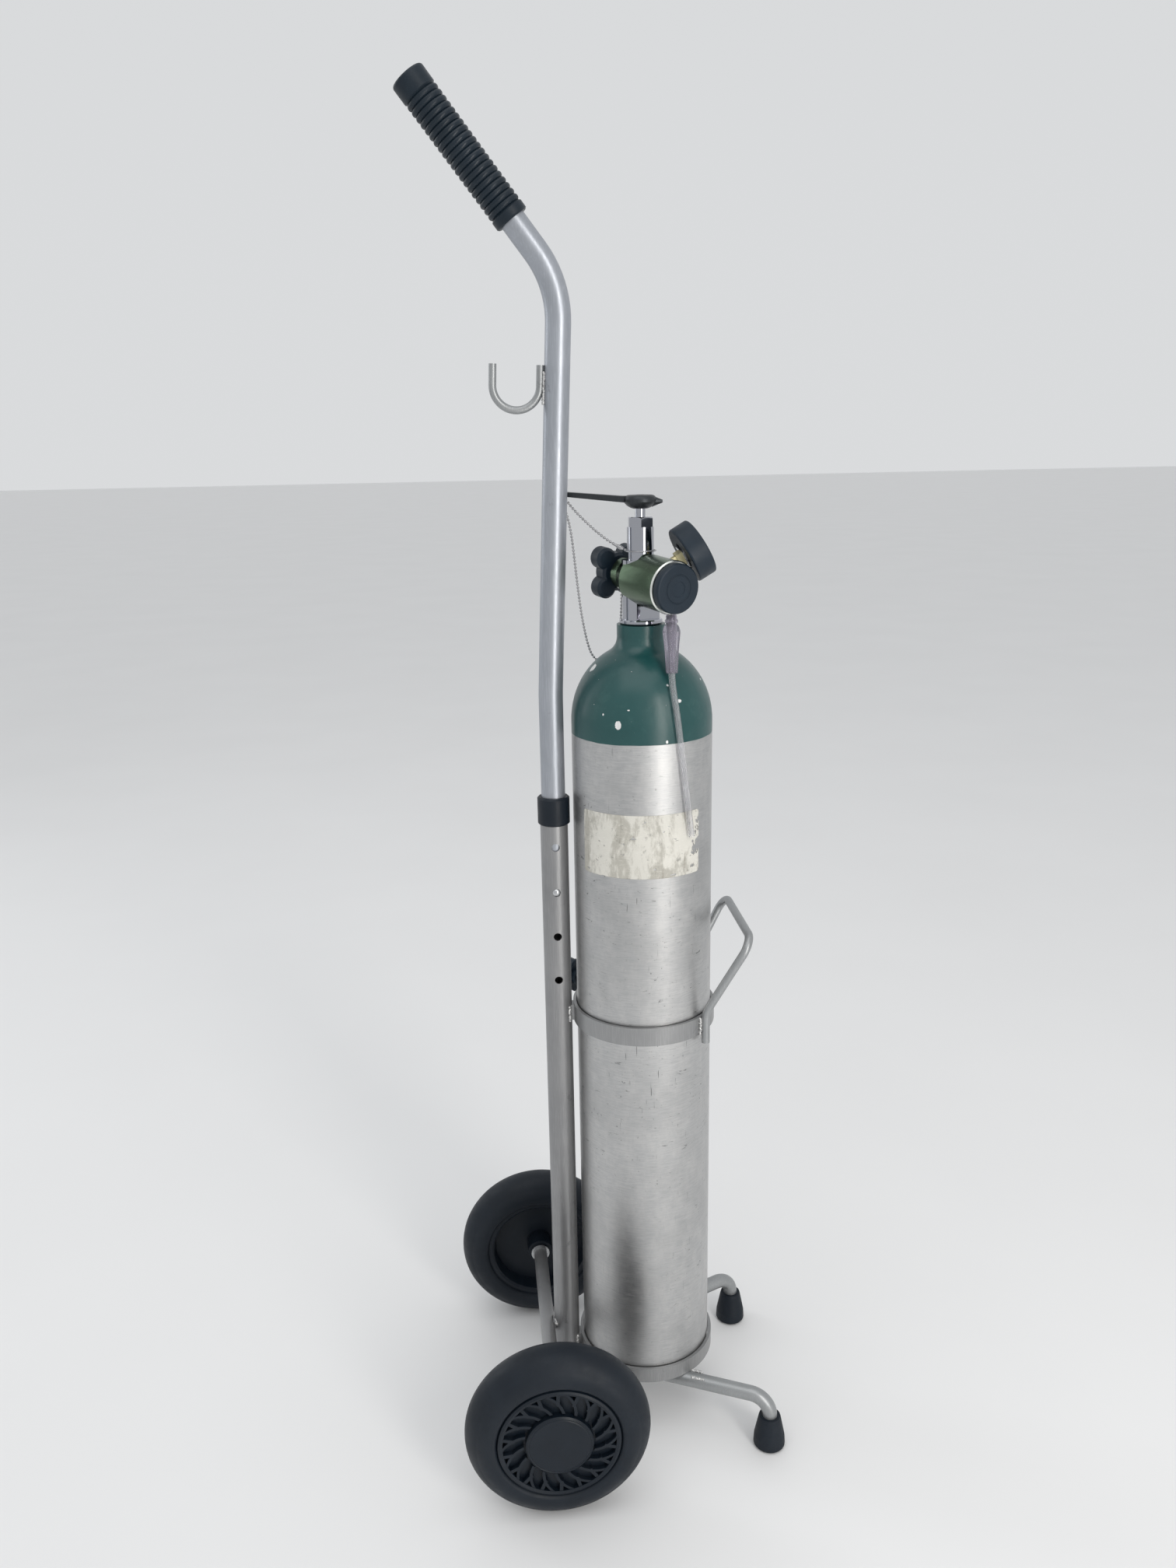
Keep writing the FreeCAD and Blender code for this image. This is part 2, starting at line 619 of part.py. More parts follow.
# ---- frames of the regulator and of its gauge -----------------------------------------------
NOSE = math.radians(REG_NOSE_DOWN_DEG)
REG_FLAT = polar(1, REG_DEG)
REG_SIDE = UP.cross(REG_FLAT)
REG_AXIS = REG_FLAT * math.cos(NOSE) - UP * math.sin(NOSE)
REG_UP = REG_AXIS.cross(REG_SIDE)
REG_CENTRE = V(0, 0, REG_Z)
GAUGE_RISE = math.radians(GAUGE_RISE_DEG)
GAUGE_TOE = math.radians(GAUGE_TOE_DEG)
GAUGE_AXIS = ((REG_SIDE * math.cos(GAUGE_RISE) + REG_UP * math.sin(GAUGE_RISE)) * math.cos(GAUGE_TOE)
              + REG_AXIS * math.sin(GAUGE_TOE))
GAUGE_CENTRE = REG_CENTRE + REG_AXIS * GAUGE_S + REG_UP * GAUGE_OFFSET


def on_regulator(shape):
    """Set a shape drawn about Z along the regulator's axis; its X is the side, its Y is up."""
    return placed(shape, REG_CENTRE, REG_AXIS, REG_SIDE)


def on_gauge(shape):
    return placed(shape, GAUGE_CENTRE, GAUGE_AXIS, REG_AXIS)


# ---- post valve and wrench ------------------------------------------------------------------
def flats(half, z_low, z_high, reach=40.0):
    """Upright slab across the valve, its faces square to the regulator's direction."""
    slab = block((-half, half), (-reach, reach), (z_low, z_high))
    return placed(slab, V(0, 0, 0), UP, REG_FLAT)


def valve_body():
    base = rod(BLOCK_R, FLANGE_Z[1], BLOCK_TOP_Z).common(flats(BLOCK_HALF, 0, 900))
    body = turned([(0, 669), (8.3, 669), (NECK_THREAD_R, 671), (NECK_THREAD_R, FLANGE_Z[0]),
                   (FLANGE_R - 0.6, FLANGE_Z[0]), (FLANGE_R, FLANGE_Z[0] + 0.8), (FLANGE_R, FLANGE_Z[1] - 0.8),
                   (FLANGE_R - 0.8, FLANGE_Z[1]), (9.0, FLANGE_Z[1]), (9.0, BLOCK_TOP_Z - 1),
                   (POST_R, BLOCK_TOP_Z - 1), (POST_R, POST_TOP_Z), (0, POST_TOP_Z)])
    body = body.fuse(base)
    for tool in (rod(2.5, 660, SEAT_Z + 1), rod(CHAMBER_R, SEAT_Z, POST_TOP_Z + 1),
                 rod(NUT_SPIGOT_R, POST_TOP_Z - 5, POST_TOP_Z + 1)):
        body = body.cut(tool)
    port = on_regulator(rod(3.2, 0, 30))
    dimple = on_regulator(turned([(0, -30), (4.9 + 20, -30), (1.3, -8.0), (0, -8.0)]))
    pins = [on_regulator(rod(2.4, 5.6, 30, x, -13.2)) for x in (-5.5, 5.5)]
    for tool in [port, dimple] + pins:
        body = body.cut(tool)
    return body.cut(safety_axis(rod(3.0, 3.0, 30)))


def safety_axis(shape):
    """Set a shape drawn about Z outward from the back of the post, below its nut."""
    return placed(shape, V(0, 0, 767.4), polar(1, 60), UP)


def safety_plug():
    plug = hexagon(4.9, 9.6, 14.4).fuse(rod(3.0, 6.4, 10.2)).cut(rod(1.4, 12.4, 20))
    return safety_axis(plug).cut(rod(POST_R, 750, POST_TOP_Z).cut(safety_axis(rod(3.0, 3.0, 30))))


def gland_nut():
    nut = hexagon(NUT_CORNER_R, POST_TOP_Z, NUT_TOP_Z, REG_DEG + 30)
    nut = nut.common(turned([(0, POST_TOP_Z), (NUT_CORNER_R, POST_TOP_Z), (NUT_CORNER_R, NUT_TOP_Z - 1),
                             (NUT_CORNER_R - 1.6, NUT_TOP_Z), (0, NUT_TOP_Z)]))
    return nut.fuse(rod(NUT_SPIGOT_R, POST_TOP_Z - 5, POST_TOP_Z)).cut(rod(STEM_R + RUN_CLEAR, 760, 800))


def valve_stem():
    """Stem with a square top for the wrench and a tang that turns the plug."""
    stem = rod(4.5, 757, 770.5).fuse(rod(STEM_R, 770.5, WRENCH_Z[0]))
    square = block((-SQUARE_HALF, SQUARE_HALF), (-SQUARE_HALF, SQUARE_HALF), (WRENCH_Z[0], STEM_TOP_Z))
    stem = stem.fuse(placed(square, V(0, 0, 0), UP, polar(1, WRENCH_DEG)))
    return stem.fuse(block((-0.85, 0.85), (-3.6, 3.6), (746, 757))).removeSplitter()


def valve_plug():
    plug = turned([(0, SEAT_Z + 0.8), (2.9, SEAT_Z + 0.8), (3.5, SEAT_Z + 1.6), (3.5, 741), (5.0, 742.5),
                   (5.0, 755.5), (0, 755.5)])
    return plug.cut(block((-0.95, 0.95), (-8, 8), (744.5, 760)))


def toggle_wrench():
    low, high = WRENCH_Z
    middle = (low + high) / 2
    head = turned([(0, low), (5.8, low), (10.5, low + 2.6, WRENCH_HEAD_R, middle),
                   (WRENCH_HEAD_R, middle + 1.6), (11.2, high - 1.0, 8.0, high), (0, high)])
    nib = Part.makeCone(4.2, 1.1, 8.0, V(-9.0, 0, middle + 0.2), V(-1, 0, 0))
    rise = math.tan(math.radians(WRENCH_RISE_DEG))
    arm_z = high - 3.2
    steps = [(6, arm_z - 2.6), (14, arm_z - 2.0), (WRENCH_TAIL, arm_z - 2.0 + rise * WRENCH_TAIL),
             (WRENCH_TAIL, arm_z + 1.4 + rise * WRENCH_TAIL), (14, arm_z + 1.9 + rise * 8), (6, high - 0.6)]
    side = outline_face(steps, lambda x, z: V(x, -5, z)).extrude(V(0, 10, 0))
    plan = prism([(4, -4.9), (WRENCH_TAIL - 3.4, -3.4), (WRENCH_TAIL, 0, WRENCH_TAIL - 3.4, 3.4), (4, 4.9)],
                 low - 5, high + 15)
    hole = rod(1.7, low - 5, high + 15, WRENCH_HOLE_AT)
    wrench = head.fuse([nib, side.common(plan)]).cut(hole).removeSplitter()
    square = block((-SQUARE_HALF, SQUARE_HALF), (-SQUARE_HALF, SQUARE_HALF), (low - 5, high + 5))
    return placed(wrench.cut(square), V(0, 0, 0), UP, polar(1, WRENCH_DEG))


# ---- regulator ------------------------------------------------------------------------------
def regulator_body():
    body = turned([(0, -24), (BOSS_R - 0.8, -24), (BOSS_R, -23.2), (BOSS_R, -16), (BARREL_R, 0),
                   (BARREL_R, 41), (0, 41)])
    window = placed(rod(WINDOW_R, -40, 40), V(0, 0, 0), V(0, 1, 0), V(1, 0, 0))
    window = window.common(block((-40, 40), (-40, 40), (-12.5, 13.0)))
    body = body.cut(window)
    for tool in (rod(5.0 + RUN_CLEAR, -30, -10), rod(5.5, 12, 24), rod(13.0, 24, 42)):
        body = body.cut(tool)
    for x in (-5.5, 5.5):
        body = body.cut(rod(1.9, 12, 18, x, -13.2))
    body = on_regulator(body)
    body = body.cut(on_gauge(rod(4.5, 5.0, 40)))
    return body.cut(on_sleeve(rod(BARB_R, -14, 4)))


def inlet_nipple():
    nipple = turned([(1.0, 6.5), (2.0, 6.5), (2.4, 7.2), (2.4, 13.0), (5.5, 13.0), (5.5, 24.0), (1.0, 24.0)])
    return on_regulator(nipple)


def seal_washer():
    washer = on_regulator(ring(2.5, 6.6, 9.0, 13.0))
    return washer.cut(flats(BLOCK_HALF, 700, 780))


def index_pins():
    return Part.Compound([on_regulator(turned([(0, 6.8), (1.2, 6.8), (1.9, 7.6), (1.9, 18), (0, 18)]).translated(
        V(x, -13.2, 0))) for x in (-5.5, 5.5)])


def regulator_piston():
    piston = turned([(0, 26.2), (2.6, 26.2), (2.6, 30), (12.92, 30), (12.92, 32.6), (0, 32.6)])
    return on_regulator(piston)


def piston_spring():
    """Two conical spring washers, rim to rim, between the chamber's floor and the piston."""
    lower = turned([(4.6, 24.1), (12.0, 26.2), (12.0, 27.1), (4.6, 25.0), (4.6, 24.1)])
    upper = turned([(4.6, 29.9), (4.6, 29.0), (12.0, 27.1), (12.0, 28.0), (4.6, 29.9)])
    return on_regulator(Part.Compound([lower, upper]))


def front_cap():
    cap = turned([(4.05, 38.5), (13.0, 38.5), (13.0, 41), (BARREL_R + 0.3, 41), (BARREL_R + 0.3, 42.6),
                  (BARREL_R - 0.6, 43.5), (4.05, 43.5)])
    return on_regulator(cap)


def orifice_disc():
    """Selector plate with a ring of metering holes, on the flow knob's shaft."""
    disc = rod(12.6, 34.2, 36.4).fuse(rod(4.0, 36.4, KNOB_S[1] - 3))
    for i in range(12):
        centre = polar(9.5, 30 * i)
        disc = disc.cut(rod(0.5 + 0.06 * i, 33, 38, centre.x, centre.y))
    return on_regulator(disc)


def flow_knob():
    low, high = KNOB_S
    knob = turned([(0, low), (KNOB_R - 0.5, low), (KNOB_R, low + 0.6), (KNOB_R, high - 1.6),
                   (KNOB_R - 0.5, high - 0.5, KNOB_R - 1.7, high), (11.2, high), (10.9, high - 0.35),
                   (10.3, high - 0.35), (10.0, high), (5.9, high), (5.6, high - 0.4), (0, high - 0.4)])
    return on_regulator(knob.cut(rod(4.0, low - 1, high - 3)))


def yoke_screw():
    screw = turned([(0, -8.6), (0.8, -8.6), (4.9, -12.9), (5.0, -13.4), (5.0, STAR_S[0] + 3),
                    (0, STAR_S[0] + 3)])
    return on_regulator(screw)


def star_knob():
    low, high = STAR_S
    knob = lobed(STAR_LOBE_AT, STAR_LOBE_R, 15.0, 4, 48, low, high, 2.0)
    knob = knob.fuse(rod(9.0, high - 1, high + 2.2)).cut(rod(5.0, low + 3, high + 5))
    return on_regulator(knob)


def gauge_stem():
    stem = rod(4.5, 9.2, 15.2).fuse(hexagon(6.4, 14.8, 19.6)).fuse(rod(4.0, 18.4, 23.2))
    stem = stem.cut(rod(1.0, 0, 30))
    barrel = on_regulator(rod(BARREL_R, 0, 41)).cut(on_gauge(rod(4.5, 5.0, 40)))
    return on_gauge(stem).cut(barrel)


def gauge_case():
    """Steel cup with a square boss on its back for the stem."""
    cup = turned([(4.0, 22.0), (19.2, 22.0), (19.8, 22.6), (19.8, 33.0), (18.4, 33.0), (18.4, 23.4),
                  (4.0, 23.4)])
    boss = block((-7, 7), (-7, 7), (19.6, 22.2)).cut(rod(4.0, 19, 23))
    return on_gauge(cup.fuse(boss))


def gauge_boot():
    edge = BOOT_R - 1.5
    boot = turned([(11.0, 20.9), (edge, 20.9), (BOOT_R - 0.4, 21.4, BOOT_R, 22.5), (BOOT_R, 34.4),
                   (BOOT_R - 0.4, 35.5, edge, 36.0), (18.6, 36.0), (17.8, 35.2), (17.8, 34.2),
                   (19.8, 34.2), (19.8, 22.6), (19.2, 22.0), (11.0, 22.0)])
    return on_gauge(boot)


def gauge_dial():
    return on_gauge(ring(1.1, 18.4, 27.0, 27.8))


def gauge_pointer():
    """Needle, hub and spindle; the needle lies at the bottom left of the dial, at zero."""
    hub = rod(0.8, 24.4, 30.2).fuse(rod(2.2, 28.8, 30.0))
    needle = prism([(-5, -0.9), (14.6, -0.25), (14.6, 0.25), (-5, 0.9)], 29.0, 29.6)
    turn = FreeCAD.Rotation(UP, 45)
    pointer = hub.fuse(needle)
    pointer.Placement = FreeCAD.Placement(V(0, 0, 0), turn)
    return on_gauge(pointer)


def gauge_lens():
    lens = turned([(0, 31.8), (18.4, 31.8), (18.4, 33.2), dome(18.4, 33.2, 34.1)])
    return on_gauge(lens)


def on_sleeve(shape):
    """Set a shape drawn about Z from the sleeve's top, its Z running down the sleeve."""
    return placed(shape, SLEEVE_TOP, (SLEEVE_END - SLEEVE_TOP).normalize(), V(1, 0, 0))


def outlet_barb():
    barb = turned([(1.3, 13), (2.2, 13), (3.0, 10), (2.4, 10), (3.0, 7), (2.4, 7), (3.0, 4), (2.4, 4),
                   (2.4, -0.5), (BARB_R, -1.2), (BARB_R, -12), (1.3, -12)])
    return on_sleeve(barb).cut(on_regulator(rod(13.0, 20, 43.5)))


def tube_connector():
    """Soft tapered sleeve from the outlet barb down to the tube."""
    end = (SLEEVE_END - SLEEVE_TOP).Length
    sleeve = turned([(3.05, 0), (4.0, 0), (4.0, 3.0), (4.9, 4.0), (4.9, 5.4), (4.1, 6.2), (5.3, 8.0),
                     (6.6, 11.5), (6.6, 14.0), (4.3, end), (TUBE_R, end), (TUBE_R, end - 8),
                     (1.6, end - 8), (1.6, end - 13), (3.4, 16), (3.05, 12)])
    return on_sleeve(sleeve)


def oxygen_tube():
    along = (SLEEVE_END - SLEEVE_TOP).normalize()
    lead = [SLEEVE_END - along * 7.5, SLEEVE_END + along * 5.0]
    return cord(lead + TUBE_ROUTE, TUBE_R, "oxygen_tube")


def wrench_chain_short():
    strand = cord(CHAIN_SHORT_ROUTE, CHAIN_R, "wrench_chain_short")
    loop = Part.makeTorus(CHAIN_RING_R, CHAIN_R, V(0, 0, CHAIN_RING_Z))
    return strand.fuse(loop)


def wrench_chain_long():
    strand = cord(CHAIN_LONG_ROUTE, CHAIN_R, "wrench_chain_long")
    return strand.fuse(on_regulator(Part.makeTorus(SCREW_RING_R, CHAIN_R, V(0, 0, SCREW_RING_S))))


# ---- all nodes ------------------------------------------------------------------------------
def build():
    axle_tube = across(ring(AXLE_ROD_R, AXLE_TUBE_R, -AXLE_TUBE_HALF, AXLE_TUBE_HALF))
    nodes = {
        "lower_tube": lower_tube(), "tube_collar": tube_collar(), "axle_tube": axle_tube,
        "axle_rod": across(rod(AXLE_ROD_R, -AXLE_ROD_HALF, AXLE_ROD_HALF)),
        "axle_bushes": on_both_sides(ring(AXLE_ROD_R, BUSH_R, 103.0, 139.3)),
        "axle_washers": on_both_sides(ring(AXLE_ROD_R, WASHER_R, AXLE_TUBE_HALF, 103.0)),
        "push_nuts": on_both_sides(ring(AXLE_ROD_R, 8.0, 139.3, 140.4)),
        "retaining_band": retaining_band(), "base_ring": base_ring(), "ring_welds": ring_welds(),
        "lift_handle": lift_handle(), "clamp_boss": clamp_boss(), "clamp_screw": clamp_screw(),
        "clamp_knob": clamp_knob(), "upper_tube": upper_tube(), "hand_grip": hand_grip(),
        "hang_hook": hang_hook(), "button_spring": button_spring(), "snap_button": snap_button(),
        "gas_cylinder": gas_cylinder(), "cylinder_label": cylinder_label(), "neck_seal": neck_seal(),
        "valve_body": valve_body(), "safety_plug": safety_plug(), "gland_nut": gland_nut(),
        "valve_stem": valve_stem(), "valve_plug": valve_plug(), "toggle_wrench": toggle_wrench(),
        "regulator_body": regulator_body(), "inlet_nipple": inlet_nipple(),
        "seal_washer": seal_washer(), "index_pins": index_pins(),
        "regulator_piston": regulator_piston(), "piston_spring": piston_spring(),
        "front_cap": front_cap(), "orifice_disc": orifice_disc(), "flow_knob": flow_knob(),
        "yoke_screw": yoke_screw(), "star_knob": star_knob(), "gauge_stem": gauge_stem(),
        "gauge_case": gauge_case(), "gauge_boot": gauge_boot(), "gauge_dial": gauge_dial(),
        "gauge_pointer": gauge_pointer(), "gauge_lens": gauge_lens(), "outlet_barb": outlet_barb(),
        "tube_connector": tube_connector(), "oxygen_tube": oxygen_tube(),
        "wrench_chain_short": wrench_chain_short(), "wrench_chain_long": wrench_chain_long(),
    }
    for name, side in SIDES:
        nodes["front_leg_" + name] = front_leg(side)
        nodes["foot_" + name] = foot(side)
        nodes["tyre_" + name] = wheel_part(tyre(), side)
        nodes["wheel_hub_" + name] = wheel_part(wheel_hub(), side)
        nodes["hub_cap_" + name] = wheel_part(hub_cap(), side)
    return nodes


def main():
    os.makedirs("parts", exist_ok=True)
    for node, shape in build().items():
        save(node, shape)


main()
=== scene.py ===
import json
import math
import random

import bmesh
import bpy
from mathutils import Matrix, Vector, noise


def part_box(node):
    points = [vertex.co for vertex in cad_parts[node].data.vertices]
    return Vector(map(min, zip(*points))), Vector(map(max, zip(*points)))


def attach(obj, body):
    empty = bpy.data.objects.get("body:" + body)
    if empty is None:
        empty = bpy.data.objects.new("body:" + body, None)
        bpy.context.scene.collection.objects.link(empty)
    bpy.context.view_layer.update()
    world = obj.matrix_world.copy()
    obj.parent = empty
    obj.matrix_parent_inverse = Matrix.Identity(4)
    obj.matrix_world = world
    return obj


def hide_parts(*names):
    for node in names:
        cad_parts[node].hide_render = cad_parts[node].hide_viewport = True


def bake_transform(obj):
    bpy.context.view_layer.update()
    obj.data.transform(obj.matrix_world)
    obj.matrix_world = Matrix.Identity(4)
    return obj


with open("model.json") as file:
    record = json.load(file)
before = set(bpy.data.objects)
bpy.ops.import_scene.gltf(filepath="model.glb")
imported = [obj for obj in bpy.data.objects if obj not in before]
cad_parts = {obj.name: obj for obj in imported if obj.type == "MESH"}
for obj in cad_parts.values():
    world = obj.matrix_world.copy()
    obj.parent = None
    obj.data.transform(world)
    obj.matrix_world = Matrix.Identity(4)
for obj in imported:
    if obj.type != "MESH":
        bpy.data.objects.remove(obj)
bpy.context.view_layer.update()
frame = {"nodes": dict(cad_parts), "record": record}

RNG = random.Random(7)

# Lengths below are in millimetres about the cylinder's axis, as in the CAD; at() gives the row frame.
MM = 0.001
LOW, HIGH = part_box("gas_cylinder")
AXIS_X = (LOW.x + HIGH.x) / 2
CYL_R = 55.6
PAINT_Z = 618.7          # lower edge of the green paint
POLE_X = -71.4
POLE_R = 11.1
UPPER_R = 9.525
LEAN = math.radians(2.6)
LEAN_START_Z = 650.0
RING_R = 59.0            # outside of the band and the base ring
REG_Z = 737.7            # height of the regulator's axis
REG_AXIS = (0.436695, -0.895359, -0.087156)
WHEEL_Z = 75.0
TUBE_R, TUBE_BORE_R = 2.45, 1.55


def at(x, y, z):
    return Vector((AXIS_X + x * MM, y * MM, z * MM))


def polar(radius, degrees, z=0.0):
    angle = math.radians(degrees)
    return radius * math.cos(angle), radius * math.sin(angle), z


# ---- camera: first, because the cords are judged from it ------------------------------------
CAMERA_PLACE = (-134.2356, -955.5033, 838.6065)
CAMERA_TURN = (-0.0947, 0.2670, -0.0184)    # yaw, downward pitch and roll, in radians
FOCAL_PX, FRAME_PX = 1604.47, 2016          # focal length and the frame's longer side
SENSOR = 36.0


def make_camera():
    yaw, pitch, roll = CAMERA_TURN
    forward = Vector((-math.sin(yaw) * math.cos(pitch), math.cos(yaw) * math.cos(pitch), -math.sin(pitch)))
    right = Vector((math.cos(yaw), math.sin(yaw), 0))
    above = right.cross(forward)
    side = right * math.cos(roll) + above * math.sin(roll)
    top = above * math.cos(roll) - right * math.sin(roll)
    data = bpy.data.cameras.new("camera")
    data.sensor_width = SENSOR
    data.lens = SENSOR * FOCAL_PX / FRAME_PX
    data.clip_start = 0.02
    data.clip_end = 60
    camera = bpy.data.objects.new("camera", data)
    bpy.context.scene.collection.objects.link(camera)
    turn = Matrix((side, top, -forward)).transposed().to_4x4()
    camera.matrix_world = Matrix.Translation(at(*CAMERA_PLACE)) @ turn
    bpy.context.scene.camera = camera


# ---- node materials -------------------------------------------------------------------------
class Finish:
    """Node tree of one material, or of a world. Each method adds nodes and gives an output socket."""

    def __init__(self, name=None, world=None):
        self.material = world or bpy.data.materials.new(name)
        self.material.use_nodes = True
        self.tree = self.material.node_tree
        self.tree.nodes.clear()
        self.place = self.node("ShaderNodeTexCoord").outputs["Generated" if world else "Object"]

    def node(self, kind, **settings):
        made = self.tree.nodes.new(kind)
        for name, value in settings.items():
            setattr(made, name, value)
        return made

    def feed(self, socket, value):
        if isinstance(value, bpy.types.NodeSocket):
            self.tree.links.new(value, socket)
        elif isinstance(value, tuple) and len(value) == 3 and socket.type == "RGBA":
            socket.default_value = (*value, 1)
        else:
            socket.default_value = value

    def math(self, operation, a, b=0.0, c=0.0):
        made = self.node("ShaderNodeMath", operation=operation)
        for socket, value in zip(made.inputs, (a, b, c)):
            self.feed(socket, value)
        return made.outputs[0]

    def vector(self, operation, a, b):
        made = self.node("ShaderNodeVectorMath", operation=operation)
        self.feed(made.inputs[0], a)
        self.feed(made.inputs[1], b)
        scalar = operation in ("DOT_PRODUCT", "DISTANCE", "LENGTH")
        return made.outputs["Value" if scalar else "Vector"]

    def about(self, centre):
        """Position from a point, in millimetres."""
        moved = self.vector("SUBTRACT", self.place, tuple(centre))
        return self.vector("MULTIPLY", moved, (1000.0, 1000.0, 1000.0))

    def part(self, vector, axis):
        made = self.node("ShaderNodeSeparateXYZ")
        self.feed(made.inputs[0], vector)
        return made.outputs[axis]

    def noise(self, scale, detail=3.0, roughness=0.5, distortion=0.0, stretch=(1.0, 1.0, 1.0)):
        made = self.node("ShaderNodeTexNoise")
        self.feed(made.inputs["Vector"], self.vector("MULTIPLY", self.place, stretch))
        for name, value in (("Scale", scale), ("Detail", detail), ("Roughness", roughness),
                            ("Distortion", distortion)):
            self.feed(made.inputs[name], value)
        return made.outputs[0]

    def cells(self, scale):
        made = self.node("ShaderNodeTexVoronoi")
        self.feed(made.inputs["Vector"], self.place)
        self.feed(made.inputs["Scale"], scale)
        return made.outputs["Distance"]

    def ramp(self, value, low, high, to_low=0.0, to_high=1.0):
        made = self.node("ShaderNodeMapRange", interpolation_type="SMOOTHSTEP")
        for name, fed in (("Value", value), ("From Min", low), ("From Max", high), ("To Min", to_low),
                          ("To Max", to_high)):
            self.feed(made.inputs[name], fed)
        return made.outputs[0]

    def mix(self, factor, a, b):
        made = self.node("ShaderNodeMix", data_type="RGBA")
        self.feed(made.inputs["Factor"], factor)
        self.feed(made.inputs[6], a)
        self.feed(made.inputs[7], b)
        return made.outputs[2]

    def level(self, factor, a, b):
        made = self.node("ShaderNodeMix", data_type="FLOAT")
        self.feed(made.inputs["Factor"], factor)
        self.feed(made.inputs[2], a)
        self.feed(made.inputs[3], b)
        return made.outputs[0]

    def bump(self, height, distance_mm, strength=1.0, below=None):
        made = self.node("ShaderNodeBump")
        self.feed(made.inputs["Height"], height)
        self.feed(made.inputs["Distance"], distance_mm * MM)
        self.feed(made.inputs["Strength"], strength)
        if below is not None:
            self.feed(made.inputs["Normal"], below)
        return made.outputs[0]

    def edges(self, radius_mm, samples=6):
        """1 near sharp edges: how far a bevelled normal turns from the true one."""
        rounded = self.node("ShaderNodeBevel", samples=samples)
        self.feed(rounded.inputs["Radius"], radius_mm * MM)
        true = self.node("ShaderNodeNewGeometry").outputs["Normal"]
        facing = self.vector("DOT_PRODUCT", rounded.outputs[0], true)
        return self.ramp(facing, 0.995, 0.9, 0.0, 1.0)

    def shade(self, **sockets):
        shader = self.node("ShaderNodeBsdfPrincipled")
        for name, value in sockets.items():
            self.feed(shader.inputs[name.replace("_", " ")], value)
        output = self.node("ShaderNodeOutputMaterial")
        self.tree.links.new(shader.outputs[0], output.inputs["Surface"])
        return self.material


def moulded(name, colour, roughness=0.5, grain_mm=0.5, dust=0.1, dust_colour=(0.06, 0.07, 0.085),
            relief=0.03):
    """Moulded plastic or rubber: fine grain, patchy sheen and a little dust."""
    f = Finish(name)
    grain = f.noise(1000 / grain_mm, 2, 0.6)
    patch = f.noise(22, 4, 0.6)
    settled = f.math("MULTIPLY", f.ramp(patch, 0.42, 0.75), dust)
    base = f.mix(f.noise(60, 3), tuple(c * 0.8 for c in colour), tuple(c * 1.25 for c in colour))
    tint = f.mix(settled, base, dust_colour)
    rough = f.level(f.ramp(f.noise(45, 5, 0.65), 0.3, 0.7), roughness - 0.08, roughness + 0.1)
    return f.shade(Base_Color=tint, Roughness=rough, Specular_IOR_Level=0.3, Normal=f.bump(grain, relief))


def enamel(name, low=(0.30, 0.31, 0.325), high=(0.46, 0.475, 0.5), wear=0.5):
    """Silver-grey baked enamel on tube: metallic sparkle, fine scratches, dark scuffs."""
    f = Finish(name)
    flake = f.noise(2600, 1, 0.5)
    cloud = f.noise(14, 4, 0.6)
    drawn = f.noise(60, 3, 0.6, stretch=(22.0, 22.0, 1.0))
    tone = f.mix(cloud, low, high)
    tone = f.mix(f.math("MULTIPLY", f.ramp(drawn, 0.45, 0.75), 0.35), tone, tuple(c * 1.25 for c in high))
    scratch = f.ramp(f.noise(95, 6, 0.75, 1.2, stretch=(9.0, 9.0, 1.6)), 0.66, 0.7)
    scuff = f.ramp(f.noise(38, 8, 0.75, 0.6), 0.62, 0.7)
    mark = f.math("MULTIPLY", f.math("MAXIMUM", scratch, scuff), wear)
    tone = f.mix(mark, tone, (0.1, 0.1, 0.1))
    rough = f.level(f.noise(120, 4, 0.6), 0.3, 0.48)
    peel = f.noise(420, 2, 0.5)
    return f.shade(Base_Color=tone, Metallic=0.72, Roughness=rough,
                   Normal=f.bump(peel, 0.015, below=f.bump(flake, 0.003)))


def plated(name, colour=(0.62, 0.63, 0.65), roughness=0.1, haze=0.12):
    """Polished plating with faint haze, wipe marks and pits."""
    f = Finish(name)
    smear = f.noise(55, 5, 0.6, 0.8, stretch=(1.0, 1.0, 2.5))
    pits = f.ramp(f.cells(520), 0.1, 0.05)
    tone = f.mix(f.math("MULTIPLY", pits, 0.5), colour, tuple(c * 0.35 for c in colour))
    rough = f.level(f.ramp(smear, 0.35, 0.75), roughness, roughness + haze)
    return f.shade(Base_Color=tone, Metallic=1.0, Roughness=rough, Normal=f.bump(f.noise(300, 3), 0.01))


def machined(name, colour, axis, centre, pitch_mm, roughness, stain, wear=None, bare_from=None):
    """Turned metal: fine rings about an axis, wandering tone, stains, bright edges and a bare front."""
    f = Finish(name)
    along = f.vector("DOT_PRODUCT", f.about(centre), tuple(axis))
    ring = f.math("SINE", f.math("MULTIPLY", along, 2 * math.pi / pitch_mm))
    rub = f.noise(40, 5, 0.6)
    tone = f.mix(f.ramp(rub, 0.3, 0.75), colour, tuple(c * 1.2 for c in colour))
    tone = f.mix(f.math("MULTIPLY", f.ramp(f.noise(85, 5, 0.7), 0.55, 0.75), 0.45), tone, stain)
    if wear:
        tone = f.mix(f.math("MULTIPLY", f.edges(0.2), 0.4), tone, wear)
    if bare_from:
        tone = f.mix(f.ramp(along, bare_from - 0.06, bare_from + 0.06), tone, wear)
    rough = f.level(f.noise(150, 4, 0.6), roughness - 0.06, roughness + 0.12)
    return f.shade(Base_Color=tone, Metallic=1.0, Roughness=rough, Normal=f.bump(ring, 0.006))


